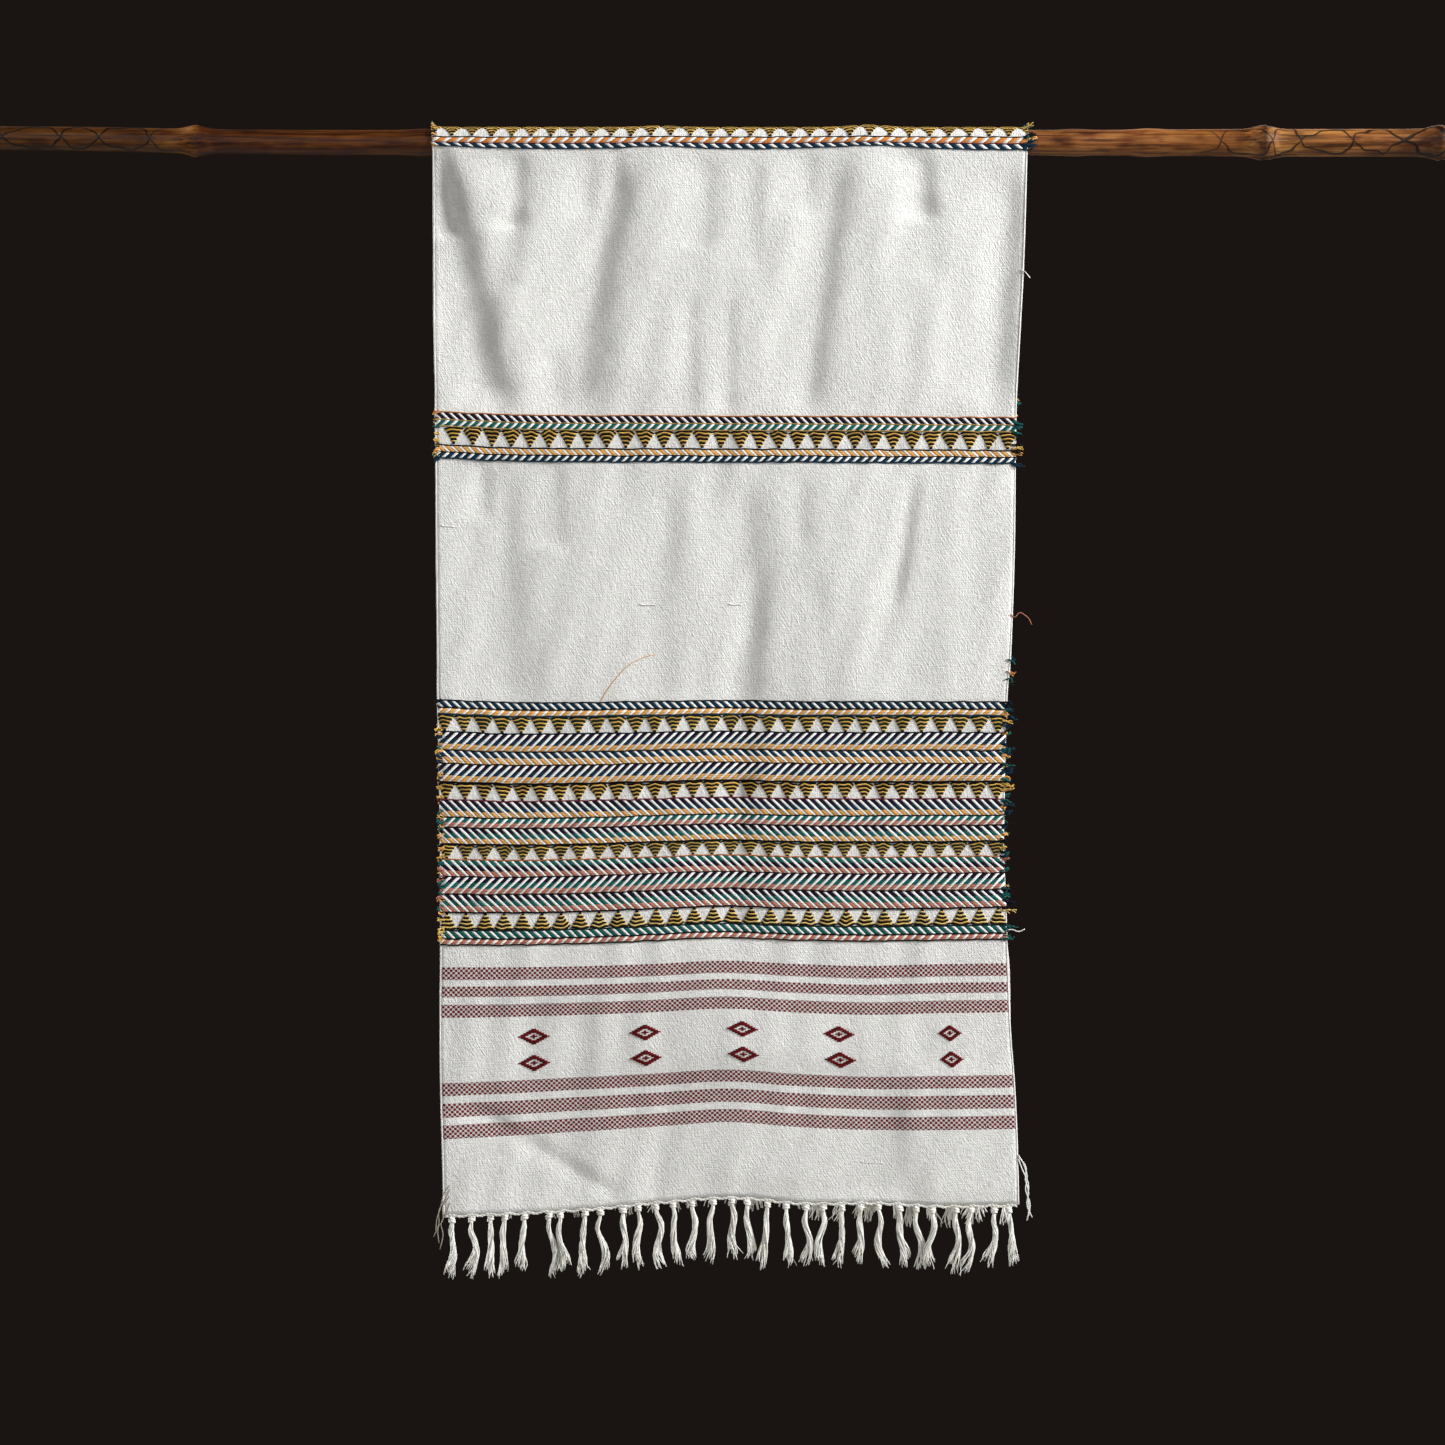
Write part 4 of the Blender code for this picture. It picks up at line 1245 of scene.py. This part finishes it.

# %% [markdown]
# ## The cane
#
# The rod is a stem of cane, a solid palm stem with low swollen joints. It is made as a lathe
# would: a round blank of many rings, each ring then set to the stem's radius at that place and
# lifted where the stem bends. A narrow ridge and a groove at each of the four most swollen
# joints are where a leaf sheath grew.

# %% Cane stem
CANE_SIDES = 40
CANE_STEPS = 480
CANE_HALF = 720 * MM
JOINT_RIDGE = 0.45 * MM
JOINT_GROOVE = 0.6 * MM
GROOVE_ASIDE_MM = 4
RIDGE_HALF_WIDTH_MM = 1.8


def cane_stem():
    blank = bmesh.new()
    bmesh.ops.create_circle(blank, segments=CANE_SIDES, radius=1)
    bmesh.ops.rotate(blank, matrix=Matrix.Rotation(math.radians(90), 3, "Y"), verts=blank.verts)
    bmesh.ops.translate(blank, vec=(-CANE_HALF, 0, 0), verts=blank.verts)
    bmesh.ops.spin(blank, geom=list(blank.edges), axis=(1, 0, 0),
                   dvec=(2 * CANE_HALF / CANE_STEPS, 0, 0), angle=0, steps=CANE_STEPS)
    bmesh.ops.holes_fill(blank, edges=[edge for edge in blank.edges if edge.is_boundary],
                         sides=0)
    bmesh.ops.recalc_face_normals(blank, faces=blank.faces)
    mesh = mesh_of(blank, "cane_rod")
    points = points_of(mesh)
    x = points[:, 0]
    angle = np.arctan2(points[:, 2], points[:, 1])
    radius = rod_radius(x)
    for joint in ROD_JOINTS:
        if joint.swelling > 2 * MM:
            off = (x - joint.x - 1.2 * MM * np.sin(angle)) / MM
            radius = radius + JOINT_RIDGE * np.exp(-(off / RIDGE_HALF_WIDTH_MM) ** 2)
            off_groove = (off - GROOVE_ASIDE_MM) / RIDGE_HALF_WIDTH_MM
            radius = radius - JOINT_GROOVE * np.exp(-off_groove ** 2)
    radius = radius * (1 + 0.006 * np.sin(3 * angle + 9 * x) + 0.004 * np.sin(7 * angle + 31 * x))
    points[:, 1] = radius * np.cos(angle)
    points[:, 2] = radius * np.sin(angle) + rod_rise(x)
    move_points(mesh, points)
    lay_stem_uv(mesh, x, angle)
    return mesh


def lay_stem_uv(mesh, x, angle):
    """Map the stem by metres along it and by turns round it, with no jump at the seam."""
    corners = corner_points(mesh)
    sides = np.empty(len(mesh.polygons), int)
    mesh.polygons.foreach_get("loop_total", sides)
    face = np.repeat(np.arange(len(sides)), sides)
    turns = (angle / (2 * math.pi) % 1)[corners]
    largest = np.zeros(len(sides))
    np.maximum.at(largest, face, turns)
    turns = np.where(largest[face] - turns > 0.5, turns + 1, turns)
    layer = mesh.uv_layers.new(name="stem")
    layer.data.foreach_set("uv", np.stack([x[corners], turns], axis=1).ravel())


# %% Cane finish
STREAKS_A_METRE = (13, 360, 360)
BLOTCHES_A_METRE = (30, 90, 90)
DRIFTS_A_METRE = 22
CANE_TONES = (
    (0.0, "#563612"), (0.05, "#654218"), (0.11, "#583612"), (0.13, "#7A5426"),
    (0.147, "#98682E"), (0.152, "#58300F"), (0.17, "#562F0D"), (0.24, "#6B3F12"),
    (0.30, "#5A340F"), (0.5, "#5A3C20"), (0.70, "#92643A"), (0.76, "#A06E40"),
    (0.82, "#966632"), (0.846, "#AA7A44"), (0.851, "#4A2A16"), (0.857, "#B28652"),
    (0.91, "#AA7842"), (0.94, "#92663C"), (0.965, "#644228"), (0.985, "#A8835A"),
    (1.0, "#745030"),
)
cane_look = new_material("varnished_smoked_cane")
stem = add_node(cane_look, "UVMap", {}, uv_map="stem")[0]
place = add_node(cane_look, "TexCoord", {})["Object"]
stem_split = add_node(cane_look, "SeparateXYZ", {"Vector": stem})
drift = add_node(cane_look, "TexNoise", {"Vector": place, "Scale": DRIFTS_A_METRE, "Detail": 2.0})["Fac"]
share = add_node(cane_look, "Math", {0: stem_split["X"], 1: 0.5 / CANE_HALF, 2: 0.494},
                 operation="MULTIPLY_ADD")[0]
share = add_node(cane_look, "Math", {0: drift, 1: 0.012, 2: share},
                 operation="MULTIPLY_ADD")[0]
base = add_node(cane_look, "ValToRGB", {"Fac": share}, stops=CANE_TONES)["Color"]
streak = add_node(cane_look, "TexNoise", {
    "Vector": add_node(cane_look, "Mapping", {"Vector": place, "Scale": STREAKS_A_METRE})[0],
    "Scale": 1.0, "Detail": 5.0, "Roughness": 0.6})["Fac"]
streak_tone = add_node(cane_look, "ValToRGB", {"Fac": streak},
                       stops=((0.38, "#4A2A14"), (0.6, "#FFF4E2"), (0.47, "#C89C6C")))["Color"]
blotch = add_node(cane_look, "TexNoise", {
    "Vector": add_node(cane_look, "Mapping", {"Vector": place, "Scale": BLOTCHES_A_METRE})[0],
    "Scale": 1.0, "Detail": 3.0})["Fac"]
blotch_tone = add_node(cane_look, "ValToRGB", {"Fac": blotch},
                       stops=((0.35, "#94704E"), (0.55, "#FFFFFF")))["Color"]
toned = base
for darkening in (streak_tone, blotch_tone):
    toned = add_node(cane_look, "Mix", {0: 0.8, 6: toned, 7: darkening},
                     data_type="RGBA", blend_type="MULTIPLY")[2]
print("cane tones", len(CANE_TONES))

# %% [markdown]
# Near the two ends, thin dark lines are scorched on the stem. Two of them wave up and down each
# side of it in opposite directions, so that they cross and leave eye-shaped loops. A place is on
# a line where its distance round the stem from the side's middle equals the wave's height.

# %% Scorched lines and varnish
LOOP_LENGTH = 44 * MM
LOOP_HEIGHT = 0.36
LINE_HALF_WIDTH = 0.036
WAVER = 3.2
WAVERS_A_METRE = 38
near_ends = add_node(cane_look, "ValToRGB", {"Fac": share}, stops=(
    (0.0, "#FFFFFF"), (0.148, "#000000"), (0.12, "#FFFFFF"), (0.80, "#000000"),
    (0.82, "#E0E0E0"), (1.0, "#FFFFFF")))["Color"]
waver = add_node(cane_look, "TexNoise", {
    "Vector": place, "Scale": WAVERS_A_METRE, "Detail": 1.0})["Fac"]
wave = add_node(cane_look, "Math", {0: stem_split["X"], 1: math.pi / LOOP_LENGTH},
                operation="MULTIPLY")[0]
wave = add_node(cane_look, "Math", {0: waver, 1: WAVER, 2: wave}, operation="MULTIPLY_ADD")[0]
for operation, value in (("SINE", 0), ("MULTIPLY", LOOP_HEIGHT), ("ABSOLUTE", 0)):
    wave = add_node(cane_look, "Math", {0: wave, 1: value}, operation=operation)[0]
round_side = add_node(cane_look, "Math", {0: stem_split["Y"], 1: 2.0, 2: 0.5},
                      operation="MULTIPLY_ADD")[0]
for operation, value in (("FRACT", 0), ("ADD", -0.5), ("ABSOLUTE", 0)):
    round_side = add_node(cane_look, "Math", {0: round_side, 1: value}, operation=operation)[0]
on_line = add_node(cane_look, "Math", {0: round_side, 1: wave, 2: LINE_HALF_WIDTH},
                   operation="COMPARE")[0]
scorched = add_node(cane_look, "Math", {0: on_line, 1: near_ends}, operation="MULTIPLY")[0]
cane_colour = add_node(cane_look, "Mix", {0: scorched, 6: toned, 7: linear("#120A05")},
                       data_type="RGBA")[2]
cane_bump = add_node(cane_look, "Bump", {"Height": streak, "Strength": 0.7, "Distance": 0.0008})
finish_material(cane_look, Base_Color=cane_colour, Normal=cane_bump[0], Roughness=0.5,
                Specular_IOR_Level=0.22)

add_piece("cane_rod", cane_stem(), cane_look, ["rod"])

# %% [markdown]
# ## Brocaded diamonds
#
# Between the two groups of stripes stand two rows of five small diamonds: an outline, a pale
# ring and a centre, in maroon weft. They are short threads like those of the triangles, but
# they lie lower.

# %% Diamonds
Diamond = namedtuple("Diamond", "across half_width")
DIAMONDS = (Diamond(0.165, 14.5), Diamond(0.36, 14.2), Diamond(0.53, 14.2), Diamond(0.699, 14.2),
            Diamond(0.893, 10.5))
DIAMOND_ROWS_BELOW_TOP = (64.2 * MM, 88.6 * MM)
DIAMOND_HALF_HEIGHT_MM = 7.3
DIAMOND_LINES = 11
USUAL_HALF_WIDTH_MM = 14.2
OUTLINE_MM = 7.4
RING_MM = 4.4


def diamond_threads(half_width):
    """List the threads of one diamond as (place down it, left end, right end)."""
    outline = OUTLINE_MM * half_width / USUAL_HALF_WIDTH_MM
    ring = RING_MM * half_width / USUAL_HALF_WIDTH_MM
    threads = []
    for line in range(DIAMOND_LINES):
        down = (2 * (line + 0.5) / DIAMOND_LINES - 1) * DIAMOND_HALF_HEIGHT_MM
        reach = half_width * (1 - abs(down) / DIAMOND_HALF_HEIGHT_MM) + 1.0
        if reach <= outline + 0.6:
            threads.append((down, -reach, reach))
            continue
        threads.append((down, -reach, outline - reach))
        threads.append((down, reach - outline, reach))
        if reach > outline + ring + 0.5:
            threads.append((down, outline + ring - reach, reach - outline - ring))
    return threads


def diamonds(fall, direction):
    """Hang every diamond thread of a fall."""
    across, run = [], []
    for below_top in DIAMOND_ROWS_BELOW_TOP:
        drop = fall.stripes_top + below_top
        for diamond in DIAMONDS:
            for down, left, right in diamond_threads(diamond.half_width):
                across.append(diamond.across + np.linspace(left, right, 4) / WIDTH_MM)
                run.append(np.full(4, drop + down * MM))
    across, run = np.array(across), np.array(run)
    run = -run if direction < 0 else OVER_LENGTH + run
    across = across if direction < 0 else 1 - across
    height = np.tile(np.array([0, 0.25, 0.25, 0]) * MM, len(run))
    paths = hang(across.ravel(), run.ravel(), height).reshape(len(run), 4, 3)
    return yarns(paths, [0.7 * MM], 4, ["maroon"])


# %% Stray and cut ends
LEFT_SELVEDGE_MM = -277
HANGING_WIDTH_MM = 547
STRAY_STATIONS = 14
Stray = namedtuple("Stray", "dye radius places")
STRAYS = (
    Stray("orange", 0.3, ((-69, 485), (-80, 488), (-94, 495), (-106, 508), (-116, 522),
                          (-121, 532), (-122, 545))),
    Stray("undyed", 0.5, ((-84, 437.5), (-80, 438.2), (-74, 438), (-69, 438.4))),
    Stray("undyed", 0.5, ((1, 437.8), (5, 438.4), (9, 438), (13, 438.5))),
    Stray("undyed", 0.5, ((-272, 366.5), (-268, 367.2), (-264, 367), (-259, 367.5))),
    Stray("undyed", 0.28, ((121, 964), (128, 965), (136, 964.5), (143, 965.5))),
    Stray("rose", 0.45, ((268, 446), (272, 449), (276, 444.5), (280, 446), (285, 450),
                         (288, 456))),
    Stray("teal", 0.7, ((267, 489), (272, 491), (274, 494))),
    Stray("rose", 0.5, ((267, 500), (272, 503), (276, 501))),
    Stray("teal", 0.7, ((267, 508), (272, 507), (273, 511))),
    Stray("undyed", 0.5, ((266, 748), (274, 746), (281, 748), (287, 745.5))),
    Stray("undyed", 0.5, ((268, 121), (272, 124), (276, 129))),
    # These four grey ends are undyed yarn coloured grey as painted shade, where they hang in shadow.
    Stray("greyed", 0.4, ((-270, 976), (-276, 984), (-279, 996), (-283, 1008), (-284, 1020))),
    Stray("greyed", 0.4, ((-270, 980), (-275, 990), (-281, 1000), (-281, 1012), (-286, 1024))),
    Stray("greyed", 0.4, ((-270, 986), (-277, 996), (-277, 1008), (-282, 1016), (-281, 1030))),
    Stray("greyed", 0.4, ((-270, 992), (-274, 1002), (-279, 1012), (-277, 1022), (-280, 1036))),
    Stray("undyed", 0.55, ((270, 957), (275, 966), (278, 978), (276, 990), (280, 1002),
                           (279, 1014))),
    Stray("undyed", 0.55, ((270, 959), (277, 968), (276, 980), (279, 992), (277, 1004),
                           (282, 1016))),
    Stray("undyed", 0.55, ((270, 961), (274, 972), (279, 984), (278, 996), (279, 1008),
                           (277, 1019))),
)


def stray_yarns():
    """Lay the loose threads on the front fall from places in millimetres."""
    made = bmesh.new()
    for stray in STRAYS:
        number = np.arange(len(stray.places))
        t = np.linspace(0, number[-1], STRAY_STATIONS)
        x, drop = (smooth_through(number, column, t) for column in zip(*stray.places))
        path = hang((x - LEFT_SELVEDGE_MM) / HANGING_WIDTH_MM, -drop * MM,
                    np.full(STRAY_STATIONS, stray.radius * MM))
        join_mesh(made, yarns([path], [stray.radius * MM], 5, [stray.dye]))
    return mesh_of(made, "strays")


# %% [markdown]
# ## Selvedges
#
# Each side of the cloth ends in a thicker cord of warp. The dyed yarns turn there, and their
# cut ends stick out in small bright tufts beside every band.

# %% Selvedge cords
CORD_STATIONS = 520
CORD_RADIUS = 0.85 * MM
CORD_PLACES = (0.0016, 0.9984)


def selvedge_cords():
    run = np.linspace(-FRONT_HEM, OVER_LENGTH + BACK_HEM, CORD_STATIONS)
    depth = np.full(CORD_STATIONS, -CLOTH_THICKNESS / 2)
    paths = [hang(np.full(CORD_STATIONS, across), run, depth) for across in CORD_PLACES]
    return yarns(paths, [CORD_RADIUS], 6, ["undyed"], facing=(1, 0, 0))


cords = add_piece("selvedge_cords", selvedge_cords(), fringe_look)

# %% Tufts of yarn ends
CLUMP_EACH_MM = 4.5
END_STATIONS = 7
LEFT_REACH_MM = 3.5
RIGHT_REACH_MM = 11
Tufts = namedtuple("Tufts", "rows seed lift_mm")
TUFTS = (Tufts(WIDE_BAND, 31, 0), Tufts(NARROW_BAND, 32, 0), Tufts(NARROW_BAND, 33, 4),
         Tufts(NARROW_BAND, 35, 0), Tufts(WIDE_BAND, 34, 0))
LEFT_EXTRA_DYES = ["orange", "mustard", "teal"]
RIGHT_EXTRA_DYES = ["teal", "navy"]


def tuft_paths(rows, top_run, direction, seed, lift):
    """Work out the cut ends that stick out of both selvedges beside a band, in small clumps."""
    chance = random.Random(seed)
    across, runs, paths, dyes, radii = [], [], [], [], []
    t = np.linspace(0, 1, END_STATIONS)
    for row in rows * 2:
        for _ in range(max(1, round(row.height / CLUMP_EACH_MM))):
            on_left = len(runs) % 2 == 0
            out = -1 if on_left else 1
            down = row.top + chance.uniform(0, row.height)
            dye = chance.choice(row.dyes * 2 + (LEFT_EXTRA_DYES if on_left else RIGHT_EXTRA_DYES))
            furthest = chance.uniform(0.5, LEFT_REACH_MM if on_left else RIGHT_REACH_MM) * MM
            droop = (chance.uniform(-4, 2) + lift) * MM
            for _ in range(chance.randint(3, 6)):
                runs.append(top_run + direction * (down + chance.uniform(-0.9, 0.9)) * MM)
                across.append(0.008 if on_left else 0.992)
                curl = chance.uniform(0, 6.3)
                toward = chance.uniform(-2, 2) * MM
                paths.append(np.stack([
                    out * (4.2 * MM + furthest * chance.uniform(0.2, 1)) * t,
                    toward * t * t + 0.8 * MM * np.sin(5 * t + curl) * t,
                    droop * t * t + 1.2 * MM * np.cos(6 * t + curl) * t], axis=1))
                dyes.append(dye)
                radii.append(chance.uniform(0.4, 0.7) * MM)
    edges = hang(across, runs, np.full(len(runs), 0.7 * MM))
    return list(np.array(paths) + edges[:, None]), dyes, radii


def all_tufts():
    paths, dyes, radii = [], [], []
    for band, tufts in zip(BANDS, TUFTS):
        more = tuft_paths(tufts.rows, band.top_run, band.direction, tufts.seed, tufts.lift_mm)
        for kept, added in zip((paths, dyes, radii), more):
            kept += added
    print("yarn ends", len(paths))
    return yarns(paths, radii, 4, dyes)


def small_piece(name, meshes):
    """Join meshes of dyed yarn into one piece with the yarn's UV map."""
    made = bmesh.new()
    for mesh in meshes:
        join_mesh(made, mesh)
    mesh = mesh_of(made, name)
    lay_uv(mesh, points_of(mesh)[:, (0, 2)])
    return add_piece(name, mesh, yarn_look)


details = [
    cords,
    small_piece("brocade_diamonds", [diamonds(FRONT, -1), diamonds(BACK, 1)]),
    small_piece("selvedge_yarn_ends", [all_tufts()]),
    small_piece("stray_threads", [stray_yarns()]),
]
